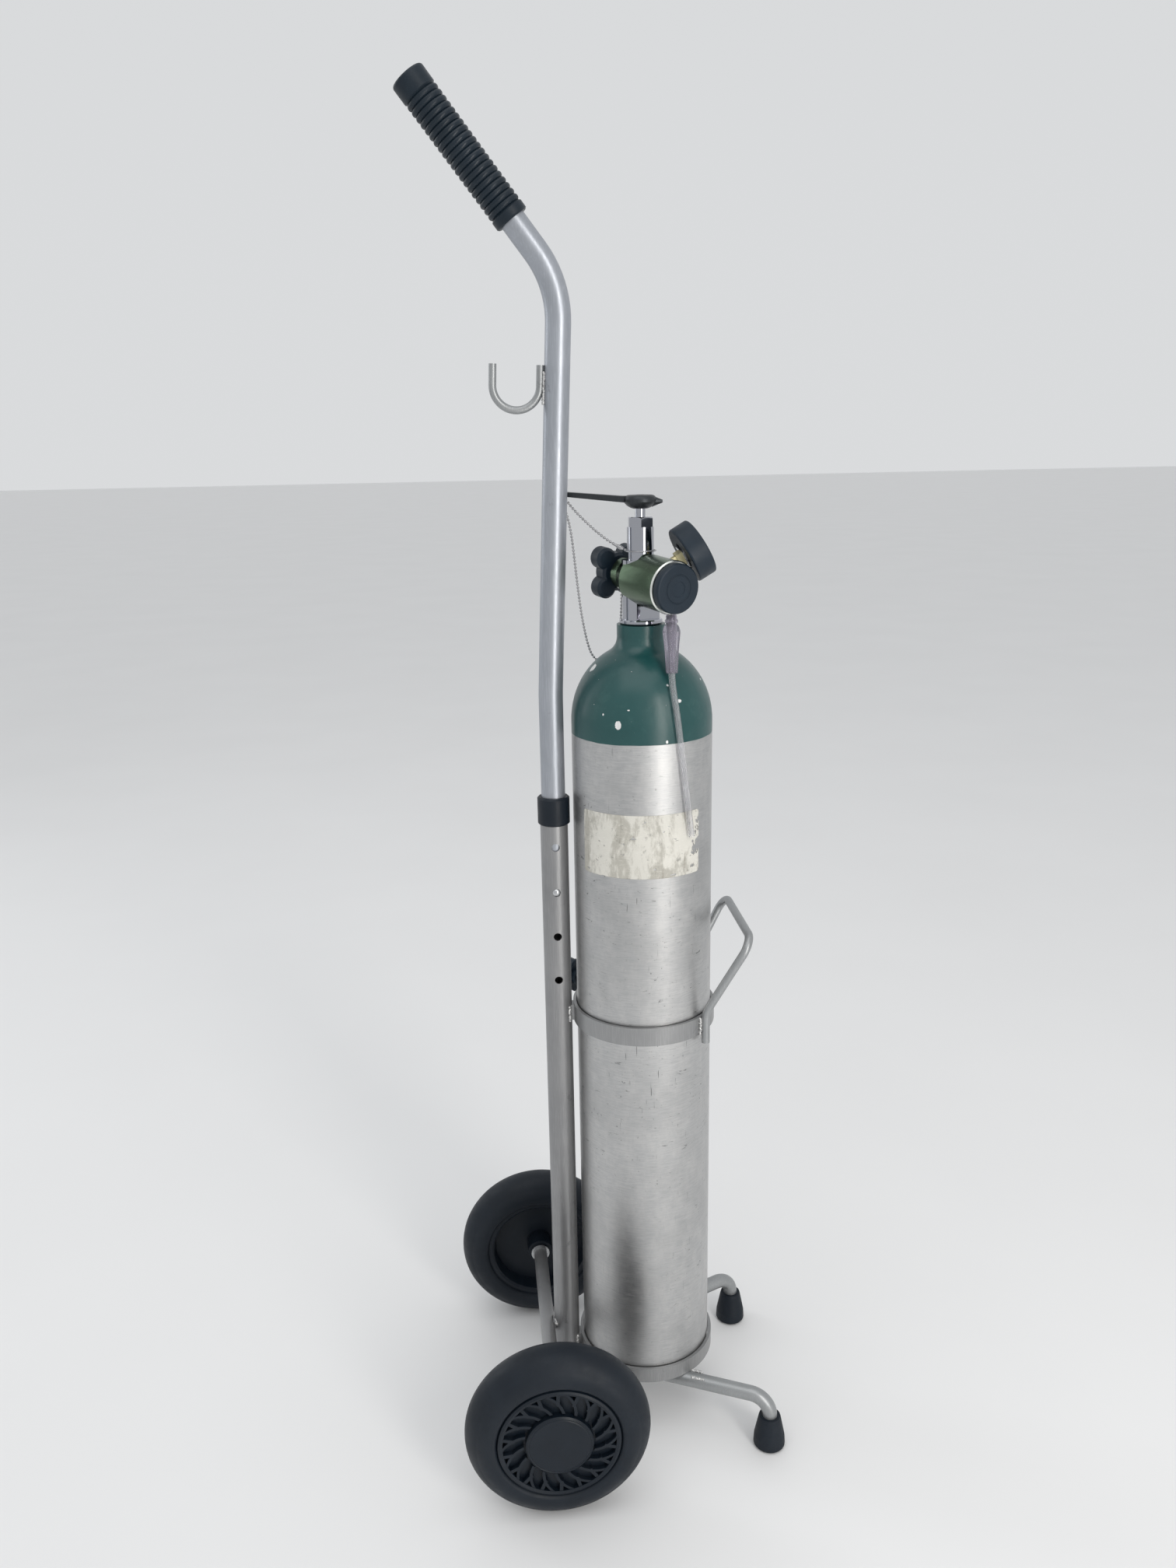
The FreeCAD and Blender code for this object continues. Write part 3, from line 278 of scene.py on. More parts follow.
# chips in the paint: place, radius, and how tall each is for its width
CHIPS = ((-24.7, -49.2, 634.2, 2.5, 1.45), (-38.6, -7.0, 670.7, 3.6, 1.1), (43.8, -16.1, 660.7, 1.1, 1.0),
         (22.4, -46.4, 650.3, 1.7, 0.8), (13.5, -43.6, 661.9, 1.0, 1.0), (-16.9, -50.3, 645.4, 1.0, 0.6),
         (11.5, -54.3, 621.0, 1.0, 1.3), (-35.1, -41.5, 641.0, 0.8, 1.2), (-8.2, -51.6, 642.4, 0.9, 0.7))


def cylinder_finish():
    """Brushed bare aluminium below, chipped green paint on the shoulder and neck."""
    f = Finish("cylinder_skin")
    height = f.math("MULTIPLY", f.part(f.place, 2), 1000.0)
    # bare metal: fine level brushing, soft vertical streaks, dirty patches, dark nicks
    fine = f.noise(90, 5, 0.75, stretch=(1.0, 1.0, 16.0))
    coarse = f.noise(46, 5, 0.7, stretch=(2.2, 2.2, 1.2))
    cloud = f.noise(11, 5, 0.62)
    metal = f.mix(f.ramp(fine, 0.3, 0.7), (0.43, 0.435, 0.44), (0.56, 0.56, 0.555))
    metal = f.mix(f.math("MULTIPLY", f.ramp(coarse, 0.4, 0.7), 0.3), metal, (0.66, 0.65, 0.635))
    metal = f.mix(f.math("MULTIPLY", f.ramp(cloud, 0.42, 0.72), 0.35), metal, (0.33, 0.333, 0.333))
    dash = f.ramp(f.noise(85, 4, 0.75, 0.9, stretch=(1.0, 1.0, 4.0)), 0.635, 0.68)
    nick = f.ramp(f.noise(230, 3, 0.7), 0.675, 0.715)
    upright = f.ramp(f.noise(120, 2, 0.6, 0.2, stretch=(5.0, 5.0, 0.35)), 0.70, 0.735)
    scratched = f.math("MAXIMUM", f.math("MAXIMUM", dash, nick), upright)
    where = f.ramp(f.noise(7, 3, 0.6), 0.35, 0.65, 0.15, 1.0)
    scratched = f.math("MULTIPLY", scratched, where)
    metal = f.mix(f.math("MULTIPLY", scratched, 0.75), metal, (0.07, 0.07, 0.07))
    # paint, with a slightly wavy lower edge
    line = f.math("ADD", height, f.math("MULTIPLY", f.math("SUBTRACT", f.noise(28, 3), 0.5), 2.2))
    painted = f.ramp(line, PAINT_Z - 0.25, PAINT_Z + 0.25)
    green = f.mix(f.noise(26, 5, 0.6), (0.007, 0.050, 0.051), (0.014, 0.075, 0.074))
    green = f.mix(f.math("MULTIPLY", f.ramp(f.noise(70, 6, 0.7), 0.52, 0.72), 0.2), green, (0.05, 0.13, 0.12))
    chipped = f.ramp(f.noise(230, 3, 0.6), 0.74, 0.76)
    for x, y, z, radius, tall in CHIPS:
        away = f.vector("MULTIPLY", f.about(at(x, y, z)), (1.0, 1.0, 1.0 / tall))
        ragged = f.math("MULTIPLY", f.math("SUBTRACT", f.noise(330, 3, 0.6), 0.5), radius * 1.1)
        reach = f.math("ADD", f.vector("LENGTH", away, (0.0, 0.0, 0.0)), ragged)
        chipped = f.math("MAXIMUM", chipped, f.ramp(reach, radius, radius * 0.86))
    covered = f.math("MULTIPLY", painted, f.math("SUBTRACT", 1.0, chipped))
    chip_metal = f.mix(f.noise(300, 2), (0.62, 0.63, 0.62), (0.85, 0.85, 0.84))
    under = f.mix(painted, metal, chip_metal)
    tone = f.mix(covered, under, green)
    rough = f.level(covered, f.level(f.ramp(fine, 0.3, 0.7), 0.37, 0.48), f.level(cloud, 0.22, 0.4))
    peel = f.noise(120, 3, 0.5)
    height_map = f.math("ADD", f.math("MULTIPLY", fine, 0.012), f.math("MULTIPLY", covered, 0.1))
    height_map = f.math("ADD", height_map, f.math("MULTIPLY", f.math("MULTIPLY", peel, covered), 0.16))
    height_map = f.math("SUBTRACT", height_map, f.math("MULTIPLY", scratched, 0.03))
    tangent = f.node("ShaderNodeTangent", direction_type="RADIAL", axis="Z").outputs[0]
    metallic = f.level(painted, 1.0, f.level(covered, 0.3, 0.0))
    return f.shade(Base_Color=tone, Metallic=metallic, Roughness=rough, Anisotropic=0.3,
                   Tangent=tangent, Normal=f.bump(height_map, 1.0))


def label_finish():
    """Cream sticker: printed side rubbed away in bands, glue stains, blotched grey; no lettering."""
    f = Finish("label_paper")
    base = f.mix(f.noise(30, 4, 0.6), (0.56, 0.55, 0.50), (0.70, 0.68, 0.62))
    rubbed = f.ramp(f.noise(34, 7, 0.72, 0.3, stretch=(1.6, 1.6, 0.55)), 0.46, 0.58)
    base = f.mix(f.math("MULTIPLY", rubbed, 0.75), base, (0.36, 0.345, 0.30))
    streak = f.ramp(f.noise(120, 5, 0.75, stretch=(2.4, 2.4, 0.12)), 0.55, 0.68)
    base = f.mix(f.math("MULTIPLY", f.math("MULTIPLY", streak, rubbed), 0.7), base, (0.20, 0.175, 0.14))
    fibre = f.noise(260, 6, 0.75, stretch=(1.0, 1.0, 3.0))
    base = f.mix(f.math("MULTIPLY", f.ramp(fibre, 0.5, 0.72), 0.35), base, (0.78, 0.77, 0.72))
    dirt = f.ramp(f.noise(110, 6, 0.72), 0.58, 0.68)
    base = f.mix(f.math("MULTIPLY", dirt, 0.55), base, (0.16, 0.155, 0.14))
    return f.shade(Base_Color=base, Roughness=f.level(rubbed, 0.42, 0.7), Normal=f.bump(fibre, 0.06))


def clear(name, colour, roughness, ior=1.45, milk=0.0, transmission=1.0):
    """Clear moulding with a faint haze and flow lines."""
    f = Finish(name)
    haze = f.ramp(f.noise(90, 4, 0.6), 0.35, 0.7)
    tone = f.mix(haze, colour, tuple(c * 0.93 for c in colour))
    rough = f.level(haze, roughness, roughness + 0.1 + milk)
    return f.shade(Base_Color=tone, Roughness=rough, IOR=ior, Transmission_Weight=transmission,
                   Normal=f.bump(f.noise(60, 2), 0.004))


# ---- shapes ---------------------------------------------------------------------------------
def add_piece(name, mesh, body, finish, sharp_deg=38):
    """A mesh as a piece of the object: smooth but for its sharp edges, riding on its body."""
    for polygon in mesh.polygons:
        polygon.use_smooth = True
    mesh.set_sharp_from_angle(angle=math.radians(sharp_deg))
    mesh.materials.append(finish)
    piece = bpy.data.objects.new(name, mesh)
    bpy.context.scene.collection.objects.link(piece)
    if body:
        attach(piece, body)
    return piece


def centreline(route):
    """Points along the NURBS spline that has the route as its control points."""
    curve = bpy.data.curves.new("route", "CURVE")
    curve.dimensions = "3D"
    curve.resolution_u = 16
    spline = curve.splines.new("NURBS")
    spline.points.add(len(route) - 1)
    for point, place in zip(spline.points, route):
        point.co = (*at(*place), 1)
    spline.order_u = 3
    spline.use_endpoint_u = True
    holder = bpy.data.objects.new("route", curve)
    mesh = bpy.data.meshes.new_from_object(holder)
    points = [vertex.co.copy() for vertex in mesh.vertices]
    bpy.data.objects.remove(holder)
    bpy.data.curves.remove(curve)
    bpy.data.meshes.remove(mesh)
    return points


def along(points, step):
    """Places at even steps along a line of points, and the direction at each."""
    places, done, due = [], 0.0, step / 2
    for a, b in zip(points, points[1:]):
        run = (b - a).length
        while due <= done + run:
            places.append((a.lerp(b, (due - done) / run), (b - a).normalized()))
            due += step
        done += run
    return places


def sweep(bm, points, section):
    """Skin a rod or tube along points; section gives a ring's radii, one, or an outer and an inner."""
    count = 20
    before = None
    across = Vector((0.31, 0.52, 0.79))
    for index, point in enumerate(points):
        ahead = points[min(index + 1, len(points) - 1)] - points[max(index - 1, 0)]
        ahead.normalize()
        across = (across - ahead * across.dot(ahead)).normalized()
        other = ahead.cross(across)
        turns = [(across * math.cos(t) + other * math.sin(t))
                 for t in (2 * math.pi * i / count for i in range(count))]
        rings = [[bm.verts.new(point + turn * radius) for turn in turns] for radius in section(index)]
        if before:
            for old, new in zip(before, rings):
                for i in range(count):
                    j = (i + 1) % count
                    bm.faces.new((old[i], old[j], new[j], new[i]))
        else:
            first = rings
        before = rings
    for rings in (first, before):
        if len(rings) == 1:
            bm.faces.new(rings[0])
        else:
            for i in range(count):
                j = (i + 1) % count
                bm.faces.new((rings[0][i], rings[0][j], rings[1][j], rings[1][i]))


def finished_mesh(bm, name):
    bmesh.ops.recalc_face_normals(bm, faces=bm.faces)
    mesh = bpy.data.meshes.new(name)
    bm.to_mesh(mesh)
    bm.free()
    return mesh


def ball(bm, place, radius, stretch=None, direction=None):
    """Bead at a place; a stretched one lies along its direction."""
    turn = Matrix.Translation(place)
    if direction is not None:
        turn = turn @ direction.to_track_quat("Z", "Y").to_matrix().to_4x4()
    scale = Matrix.Diagonal((*(stretch or (1.0, 1.0, 1.0)), 1.0))
    bmesh.ops.create_uvsphere(bm, u_segments=12, v_segments=8, radius=radius, matrix=turn @ scale)


def loop_points(centre, axis, radius, count=48):
    axis = Vector(axis).normalized()
    side = axis.orthogonal().normalized()
    other = axis.cross(side)
    return [centre + (side * math.cos(2 * math.pi * i / count) + other * math.sin(2 * math.pi * i / count))
            * radius for i in range(count + 1)]


def lathe(name, steps, origin, direction, flutes=0, depth=0.0, flute_from=0.0, count=72):
    """Turned form of (radius, distance, outside) steps in mm, fluted outside past a distance."""
    bm = bmesh.new()
    direction = direction.normalized()
    side = direction.orthogonal().normalized()
    other = direction.cross(side)
    rings = []
    for radius, distance, outside in steps:
        ring = []
        for i in range(count):
            angle = 2 * math.pi * i / count
            fluted = outside and distance > flute_from
            groove = depth * (0.5 + 0.5 * math.cos(flutes * angle)) if fluted else 0.0
            turn = side * math.cos(angle) + other * math.sin(angle)
            ring.append(bm.verts.new(origin + (direction * distance + turn * (radius - groove)) * MM))
        rings.append(ring)
    for old, new in zip(rings, rings[1:] + rings[:1]):
        for i in range(count):
            j = (i + 1) % count
            bm.faces.new((old[i], old[j], new[j], new[i]))
    return finished_mesh(bm, name)


# ---- cords: the clear tube and the two strands of bead chain --------------------------------
SLEEVE_TOP = Vector((19.05, -28.5, 712.4))
SLEEVE_END = Vector((16.9, -43.6, 671.2))
SLEEVE_DIR = (SLEEVE_END - SLEEVE_TOP).normalized()
TUBE_ROUTE = [tuple(SLEEVE_END - SLEEVE_DIR * 7.5), tuple(SLEEVE_END + SLEEVE_DIR * 5.0),
              (17.5, -50.3, 655.0), (18.8, -54.2, 644.0), (20.1, -55.6, 632.0), (23.6, -54.0, 606.0),
              (27.1, -52.4, 576.0), (31.3, -49.9, 544.5)]
CHAIN_SHORT_ROUTE = [(-55.6, 15.3, 797.6), (-49.9, 14.4, 790.0), (-41.4, 12.6, 781.2),
                     (-31.6, 10.6, 772.0), (-21.4, 8.4, 764.2), (-10.6, 5.0, 758.6)]
CHAIN_LONG_ROUTE = [(-58.4, 17.9, 797.8), (-53.4, 21.0, 784.0), (-50.4, 23.6, 769.0),
                    (-48.6, 26.0, 752.0), (-46.6, 28.5, 734.0), (-44.6, 30.5, 717.0),
                    (-42.0, 33.0, 700.0), (-38.6, 35.2, 683.6), (-34.5, 37.5, 672.0),
                    (-26.5, 40.0, 666.0), (-18.0, 39.5, 669.5), (-13.6, 34.0, 680.0),
                    (-12.6, 28.0, 696.0), (-12.0, 24.6, 715.0), (-11.3, 23.2, 733.4)]
BEAD_R = 1.1
BEAD_PITCH = 2.7
WIRE_R = 0.32
CHAIN_RING_WIRE_R = 0.5


def clear_tube(finish):
    points = centreline(TUBE_ROUTE)
    bm = bmesh.new()
    sweep(bm, points, lambda index: (TUBE_R * MM, TUBE_BORE_R * MM))
    tube = add_piece("clear_tube", finished_mesh(bm, "clear_tube"), "cylinder", finish)
    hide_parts("oxygen_tube")


def chain(name, route, node, finish, ring_centre, ring_axis, ring_r, clasp):
    """Bead chain: balls on a wire between the wrench's tail and a wire ring, with a snap clasp."""
    points = centreline(route)
    bm = bmesh.new()
    sweep(bm, points, lambda index: (WIRE_R * MM,))
    for place, direction in along(points, BEAD_PITCH * MM):
        ball(bm, place, BEAD_R * MM)
    strand = add_piece(name, finished_mesh(bm, name), None, finish)
    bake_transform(strand)
    bm = bmesh.new()
    sweep(bm, loop_points(at(*ring_centre), ring_axis, ring_r * MM), lambda index: (CHAIN_RING_WIRE_R * MM,))
    direction = (points[-1] - points[-2]).normalized()
    for back, radius, stretch in clasp:
        ball(bm, points[-1] - direction * back * MM, radius * MM, (1.0, 1.0, stretch), direction)
    ring = add_piece(name + "_ring", finished_mesh(bm, name + "_ring"), "cylinder", finish)
    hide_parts(node)


def cords(vinyl, steel):
    clear_tube(vinyl)
    chain("wrench_chain_upper", CHAIN_SHORT_ROUTE, "wrench_chain_short",
          steel, (0, 0, 758.6), (0, 0, 1), 11.7,
          ((0.8, 1.0, 1.0), (5.0, 1.75, 2.2), (9.6, 1.0, 1.3)))
    screw = Vector(REG_AXIS) * -25.4
    chain("wrench_chain_lower", CHAIN_LONG_ROUTE, "wrench_chain_long",
          steel, (screw.x, screw.y, REG_Z + screw.z), REG_AXIS, 6.2, ((0.6, 1.1, 1.2),))


# ---- other pieces ---------------------------------------------------------------------------
def sleeve(finish):
    """Soft fluted cone between the outlet barb and the tube."""
    end = (SLEEVE_END - SLEEVE_TOP).length
    outside = ((4.0, 0.0), (4.1, 0.4), (4.1, 2.7), (4.9, 3.9), (4.9, 5.3), (4.1, 6.2), (4.4, 7.0), (5.3, 8.0),
               (6.1, 9.6), (6.6, 11.5), (6.7, 13.0), (6.6, 14.5), (6.0, 20.0), (5.4, 27.0), (4.9, 34.0),
               (4.4, end - 1.2), (4.1, end))
    inside = ((TUBE_R + 0.03, end), (TUBE_R + 0.03, end - 8), (1.6, end - 8.2), (1.6, end - 13), (3.4, 16.0),
              (3.05, 12.0), (3.05, 0.0))
    steps = [(r, d, True) for r, d in outside] + [(r, d, False) for r, d in inside]
    mesh = lathe("tube_sleeve", steps, at(*SLEEVE_TOP), SLEEVE_DIR, flutes=10, depth=1.0, flute_from=11.6)
    piece = add_piece("tube_sleeve", mesh, "cylinder", finish, 60)
    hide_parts("tube_connector")


def label(finish):
    """Worn sticker: rounded corners, a torn right-hand end and shreds that lift a little."""
    from_deg, to_deg, low, high = -152.5, -46.5, 513.0, 564.0
    columns, rows = 212, 102
    width = CYL_R * math.radians(to_deg - from_deg)
    bm = bmesh.new()
    grid = []
    for row in range(rows + 1):
        v = low + (high - low) * row / rows
        line = []
        for column in range(columns + 1):
            u = width * column / columns
            rag = noise.noise(Vector((u * 0.35, v * 0.35, 3.0))) + 0.5 * noise.noise(Vector((u, v, 9.0)))
            edge = max(0.0, u - (width - 9 + 5 * rag))
            lift = 0.04 + 0.12 * max(0.0, rag) * min(edge, 2.0)
            line.append(bm.verts.new(at(*polar(CYL_R + 0.03 + lift, from_deg + math.degrees(u / CYL_R), v))))
        grid.append(line)
    for row in range(rows):
        v = low + (high - low) * (row + 0.5) / rows
        for column in range(columns):
            u = width * (column + 0.5) / columns
            corner = Vector((min(u, width - u), min(v - low, high - v)))
            rounded = corner.x < 3 and corner.y < 3 and (corner - Vector((3, 3))).length > 3
            tear = noise.fractal(Vector((u * 0.16, v * 0.13, 1.7)), 0.7, 2.2, 4)
            torn = u > width - 13 and tear > 0.16 + 0.035 * (width - u)
            hole = noise.fractal(Vector((u * 0.12, v * 0.3, 6.1)), 0.8, 2.1, 4) > 0.78
            if not (rounded or torn or hole):
                bm.faces.new((grid[row][column], grid[row][column + 1], grid[row + 1][column + 1],
                              grid[row + 1][column]))
    loose = [vertex for vertex in bm.verts if not vertex.link_faces]
    bmesh.ops.delete(bm, geom=loose, context="VERTS")
    piece = add_piece("worn_label", finished_mesh(bm, "worn_label"), None, finish, 60)
    skin = piece.modifiers.new("thickness", "SOLIDIFY")
    skin.thickness = 0.12 * MM
    skin.offset = 1.0
    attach(piece, "cylinder")
    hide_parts("cylinder_label")


def weld(name, points, radius, body, finish, wobble=0.22):
    """Weld bead: ripples laid one on the other along a line, melted together."""
    bm = bmesh.new()
    line = [at(*point) for point in points]
    for place, direction in along(line, radius * 0.62 * MM):
        jitter = Vector([RNG.uniform(-wobble, wobble) for _ in range(3)]) * radius * MM
        ball(bm, place + jitter, radius * RNG.uniform(0.82, 1.12) * MM, (1.0, 1.0, 0.72), direction)
    piece = add_piece(name, finished_mesh(bm, name), body, finish, 80)
    melt = piece.modifiers.new("melt", "REMESH")
    melt.mode = "VOXEL"
    melt.voxel_size = radius * 0.2 * MM
    melt.use_smooth_shade = True
    flow = piece.modifiers.new("flow", "SMOOTH")
    flow.iterations = 3


BAND_WELD_Z, BASE_WELD_Z = (373.6, 387.7), (53.95, 65.95)
LIFT_WELD_DEG = 44.2
LEG_Z = 52.9


def leg_side(x):
    """How far a front leg's middle is from the cart's at a place along it."""
    return 3.4 + (81.6 - 3.4) * (x - POLE_X) / (95.75 - POLE_X)


def welds(finish):
    for name, (low, high) in (("band", BAND_WELD_Z), ("base", BASE_WELD_Z)):
        for side in (1, -1):
            foot = (POLE_X + POLE_R * math.cos(math.radians(35)) - 0.6, side * 6.4)
            weld("weld_%s_%s" % (name, "left" if side > 0 else "right"),
                 [(*foot, low), (*foot, high)], 1.7, "cart", finish)
    for side, word in ((1, "left"), (-1, "right")):
        for turn in (-3.3, 3.3):
            line = [polar(RING_R + 0.7, side * LIFT_WELD_DEG + turn, z) for z in (374.0, 381.0, 387.6)]
            weld("weld_lift_%s_%s" % (word, "rear" if turn * side > 0 else "front"), line, 1.4, "cart",
                 finish, 0.35)
        leg = [(x, side * leg_side(x), LEG_Z) for x in (32.0, 37.0, 42.0)]
        for shift in (-4.6, 4.6):
            weld("weld_leg_%s_%s" % (word, "outer" if shift > 0 else "inner"),
                 [(x, y + side * shift, z) for x, y, z in leg], 1.3, "cart", finish)
        axle = [(POLE_X - POLE_R + 1.4, side * y, WHEEL_Z + up)
                for y, up in ((1.0, 6.0), (4.5, 5.4), (6.8, 2.4))]
        weld("weld_axle_" + word, axle, 1.5, "cart", finish)
    for side, word in ((1, "left"), (-1, "right")):
        line = []
        for z in (866.0, 876.0, 889.0):
            x = POLE_X + (z - LEAN_START_Z) * math.tan(LEAN)
            line.append((x - UPPER_R - 0.4, side * 2.6, z))
        weld("weld_hook_" + word, line, 1.0, "handle", finish)


GAUGE_SIDE = (0.898794, 0.438371, 0.0)
GAUGE_RISE, GAUGE_TOE = math.radians(33.2), math.radians(15.7)
GAUGE_ALONG, GAUGE_ABOVE, DIAL_FACE = 25.7, 9.5, 27.84
DIAL_START_DEG, DIAL_SWEEP_DEG, DIAL_TICKS, DIAL_NUMBERS = 225, 270, 30, 5


def dial_print(finish):
    """Ticks and plain numbers on the dial."""
    side = Vector(GAUGE_SIDE)
    axis = Vector(REG_AXIS)
    above = axis.cross(side)
    level = side * math.cos(GAUGE_RISE) + above * math.sin(GAUGE_RISE)
    facing = level * math.cos(GAUGE_TOE) + axis * math.sin(GAUGE_TOE)
    origin = at(0, 0, REG_Z) + (axis * GAUGE_ALONG + above * GAUGE_ABOVE + facing * DIAL_FACE) * MM
    down = facing.cross(axis).normalized()
    right = down.cross(facing)
    bm = bmesh.new()
    for index in range(DIAL_TICKS + 1):
        angle = math.radians(DIAL_START_DEG - DIAL_SWEEP_DEG / DIAL_TICKS * index)
        out = right * math.cos(angle) - down * math.sin(angle)
        over = facing.cross(out)
        long = index % 6 == 0
        inner, outer, half = (12.6 if long else 14.2), 16.4, (0.28 if long else 0.14)
        corners = [origin + (out * r + over * w) * MM
                   for r, w in ((inner, -half), (outer, -half), (outer, half), (inner, half))]
        base = [bm.verts.new(corner) for corner in corners]
        top = [bm.verts.new(corner + facing * 0.05 * MM) for corner in corners]
        bm.faces.new(top)
        bm.faces.new(base[::-1])
        for i in range(4):
            j = (i + 1) % 4
            bm.faces.new((base[i], base[j], top[j], top[i]))
    add_piece("dial_ticks", finished_mesh(bm, "dial_ticks"), "cylinder", finish)
    for index in range(DIAL_NUMBERS + 1):
        angle = math.radians(DIAL_START_DEG - DIAL_SWEEP_DEG / DIAL_NUMBERS * index)
        text = bpy.data.curves.new("dial_number_%d" % index, "FONT")
        text.body = str(index)
        text.size = 3.6 * MM
        text.align_x = text.align_y = "CENTER"
        text.extrude = 0.03 * MM
        text.materials.append(finish)
        number = bpy.data.objects.new(text.name, text)
        place = origin + (right * math.cos(angle) - down * math.sin(angle)) * 9.9 * MM
        number.matrix_world = Matrix.Translation(place) @ Matrix((right, -down, facing)).transposed().to_4x4()
        bpy.context.scene.collection.objects.link(number)
        bpy.context.view_layer.update()
        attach(number, "cylinder")


# ---- studio ---------------------------------------------------------------------------------
WORLD_LOW, WORLD_HIGH = 0.72, 0.70      # brightness near the horizon and overhead
LIGHTS_AIM = Vector((0, 0, 0.55))
LIGHTS = (    # name, azimuth, distance, height, size, watts, colour
    ("key", -64, 2.0, 0.95, (0.45, 2.0), 20, (1.0, 0.97, 0.93)),
    ("top", -110, 0.8, 3.0, (2.4, 2.4), 17, (1.0, 1.0, 1.0)),
    ("rim", 150, 2.2, 1.4, (0.5, 1.8), 5, (0.94, 0.97, 1.0)),
)


def studio():
    floor = bpy.data.meshes.new("floor")
    floor.from_pydata([(-30, -30, 0), (30, -30, 0), (30, 30, 0), (-30, 30, 0)], [], [(0, 1, 2, 3)])
    f = Finish("floor_paint")
    tone = f.mix(f.noise(3, 3), (0.80, 0.80, 0.80), (0.84, 0.84, 0.84))
    floor.materials.append(f.shade(Base_Color=tone, Roughness=f.level(f.noise(30, 3), 0.55, 0.65)))
    stage = bpy.data.objects.new("floor", floor)
    stage.location.z = -0.0002
    bpy.context.scene.collection.objects.link(stage)

    world = bpy.data.worlds.new("studio")
    f = Finish(world=world)
    rise = f.ramp(f.part(f.place, 2), 0.1, 0.7)
    background = f.node("ShaderNodeBackground")
    f.feed(background.inputs["Color"], (0.97, 0.985, 1.0))
    f.feed(background.inputs["Strength"], f.level(rise, WORLD_LOW, WORLD_HIGH))
    f.tree.links.new(background.outputs[0], f.node("ShaderNodeOutputWorld").inputs["Surface"])
    bpy.context.scene.world = world

    for name, azimuth, distance, height, size, power, colour in LIGHTS:
        data = bpy.data.lights.new(name, "AREA")
        data.shape = "RECTANGLE"
        data.size, data.size_y = size
        data.energy = power
        data.color = colour
        light = bpy.data.objects.new(name, data)
        place = Vector(polar(distance, azimuth, height))
        light.location = place
        light.rotation_euler = (LIGHTS_AIM - place).to_track_quat("-Z", "Y").to_euler()
        light.visible_camera = False
        bpy.context.scene.collection.objects.link(light)
    bpy.context.scene.view_settings.view_transform = "Standard"


# ---- making ---------------------------------------------------------------------------------
make_camera()
vinyl = clear("clear_vinyl", (0.95, 0.95, 0.965), 0.04, 1.2, 0.03, 0.92)
milky = clear("soft_vinyl", (0.50, 0.475, 0.55), 0.08, 1.3, 0.05, 0.74)
chain_steel = plated("chain_plated", (0.42, 0.42, 0.43), 0.3)
cords(vinyl, chain_steel)

BLACK = (0.004, 0.008, 0.014)
black = moulded("black_plastic", BLACK, 0.42)
knob_black = moulded("knob_black", (0.010, 0.019, 0.030), 0.45, 0.5, 0.08, (0.06, 0.075, 0.09), 0.04)
rubber = moulded("black_rubber", BLACK, 0.6, 0.35, 0.12, relief=0.06)
tyre = moulded("tyre_rubber", (0.005, 0.009, 0.015), 0.5, 0.6, 0.12, (0.035, 0.045, 0.06), 0.05)
grip = moulded("grip_black", (0.006, 0.013, 0.021), 0.36, 0.4, 0.12, (0.05, 0.065, 0.08), 0.04)
upper = enamel("tube_upper", (0.29, 0.31, 0.34), (0.43, 0.45, 0.49), 0.35)
lower = enamel("tube_lower", (0.21, 0.213, 0.22), (0.33, 0.33, 0.332), 0.5)
band = enamel("band_enamel", (0.23, 0.233, 0.237), (0.35, 0.353, 0.355), 0.5)
rods = enamel("leg_enamel", (0.25, 0.26, 0.265), (0.39, 0.40, 0.405), 0.4)
bead = enamel("weld_bead", (0.42, 0.42, 0.42), (0.64, 0.64, 0.63), 0.6)
chrome = plated("valve_chrome", (0.46, 0.47, 0.51), 0.05, 0.05)
steel = plated("bright_steel", (0.55, 0.56, 0.57), 0.2, 0.2)
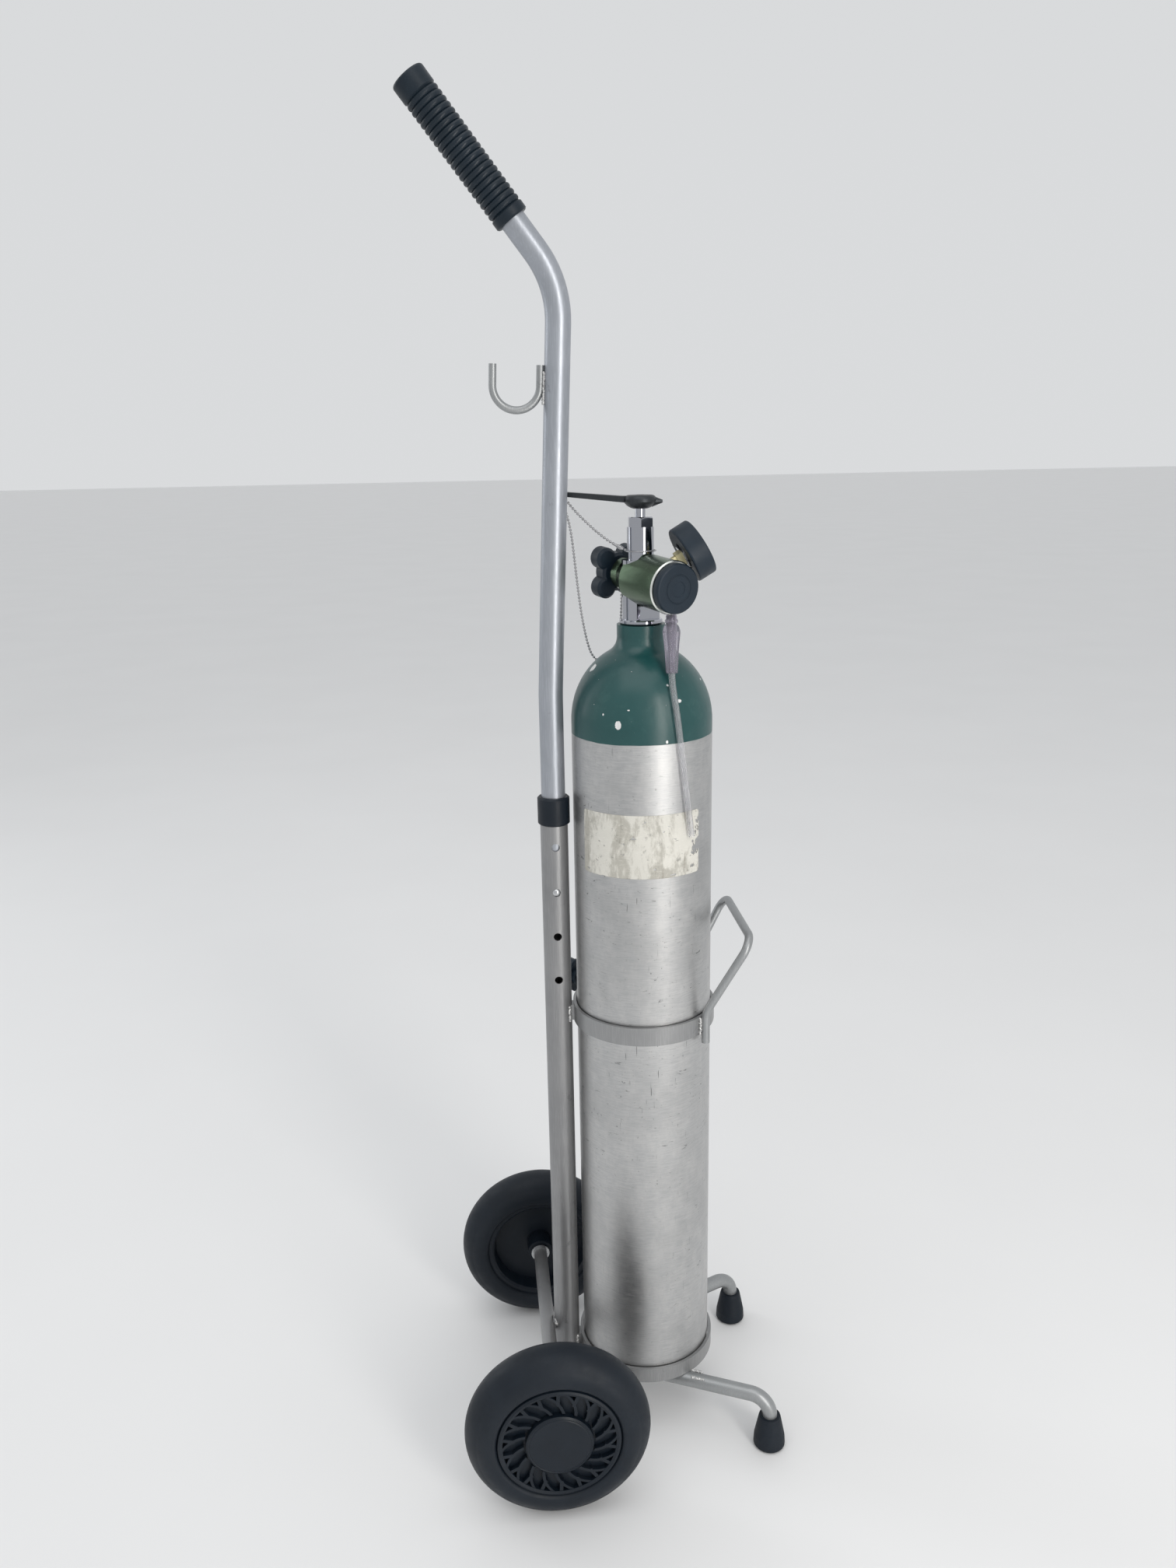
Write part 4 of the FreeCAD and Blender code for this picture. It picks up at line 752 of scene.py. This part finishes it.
brass = machined("brass", (0.50, 0.45, 0.27), (0, 0, 1), at(0, 0, 0), 0.4, 0.3, (0.28, 0.19, 0.07))
green = machined("regulator_green", (0.085, 0.125, 0.08), REG_AXIS, at(0, 0, REG_Z), 0.5, 0.22,
                 (0.07, 0.085, 0.06), wear=(0.6, 0.64, 0.58))
rim = machined("bright_aluminium", (0.085, 0.125, 0.08), REG_AXIS, at(0, 0, REG_Z), 0.3, 0.22,
               (0.07, 0.085, 0.06), wear=(0.80, 0.82, 0.78), bare_from=42.35)
skin = cylinder_finish()
paper = label_finish()
nylon = moulded("bush_plastic", (0.5, 0.5, 0.46), 0.4, dust=0.2)
white = moulded("dial_white", (0.78, 0.78, 0.75), 0.5, 0.3, 0.06, (0.5, 0.48, 0.42))
ink = moulded("pointer_black", (0.01, 0.01, 0.01), 0.45)
lens = clear("lens_clear", (0.95, 0.96, 0.96), 0.03)
wrench_finish = enamel("wrench_black", (0.030, 0.034, 0.038), (0.05, 0.055, 0.06), 0.2)

FINISH = {
    "tube_grey": lower, "band_grey": band, "axle_steel": steel, "bush_plastic": nylon, "collar_black": black,
    "grip_black": grip, "foot_rubber": rubber, "tyre_rubber": tyre, "hub_plastic": black,
    "button_steel": steel, "spring_steel": steel, "screw_steel": steel, "knob_black": knob_black,
    "cylinder_skin": skin, "label_paper": paper, "seal_rubber": rubber, "valve_chrome": chrome,
    "brass_part": brass, "wrench_black": wrench_finish, "regulator_green": green, "bright_aluminium": rim,
    "gauge_black": knob_black, "gauge_steel": steel, "dial_white": white, "pointer_black": ink,
    "lens_clear": lens, "clear_vinyl": vinyl, "chain_plated": chain_steel,
}
OWN_FINISH = {"outlet_barb": steel, "upper_tube": upper, "hang_hook": rods, "lift_handle": rods,
              "front_leg_left": rods, "front_leg_right": rods}
for subpart in frame["record"]["subparts"]:
    node = subpart["node"]
    mesh = frame["nodes"][node].data
    mesh.materials.clear()
    mesh.materials.append(OWN_FINISH.get(node) or FINISH[subpart["material_slot"]])

sleeve(milky)
label(paper)
welds(bead)
dial_print(ink)
studio()
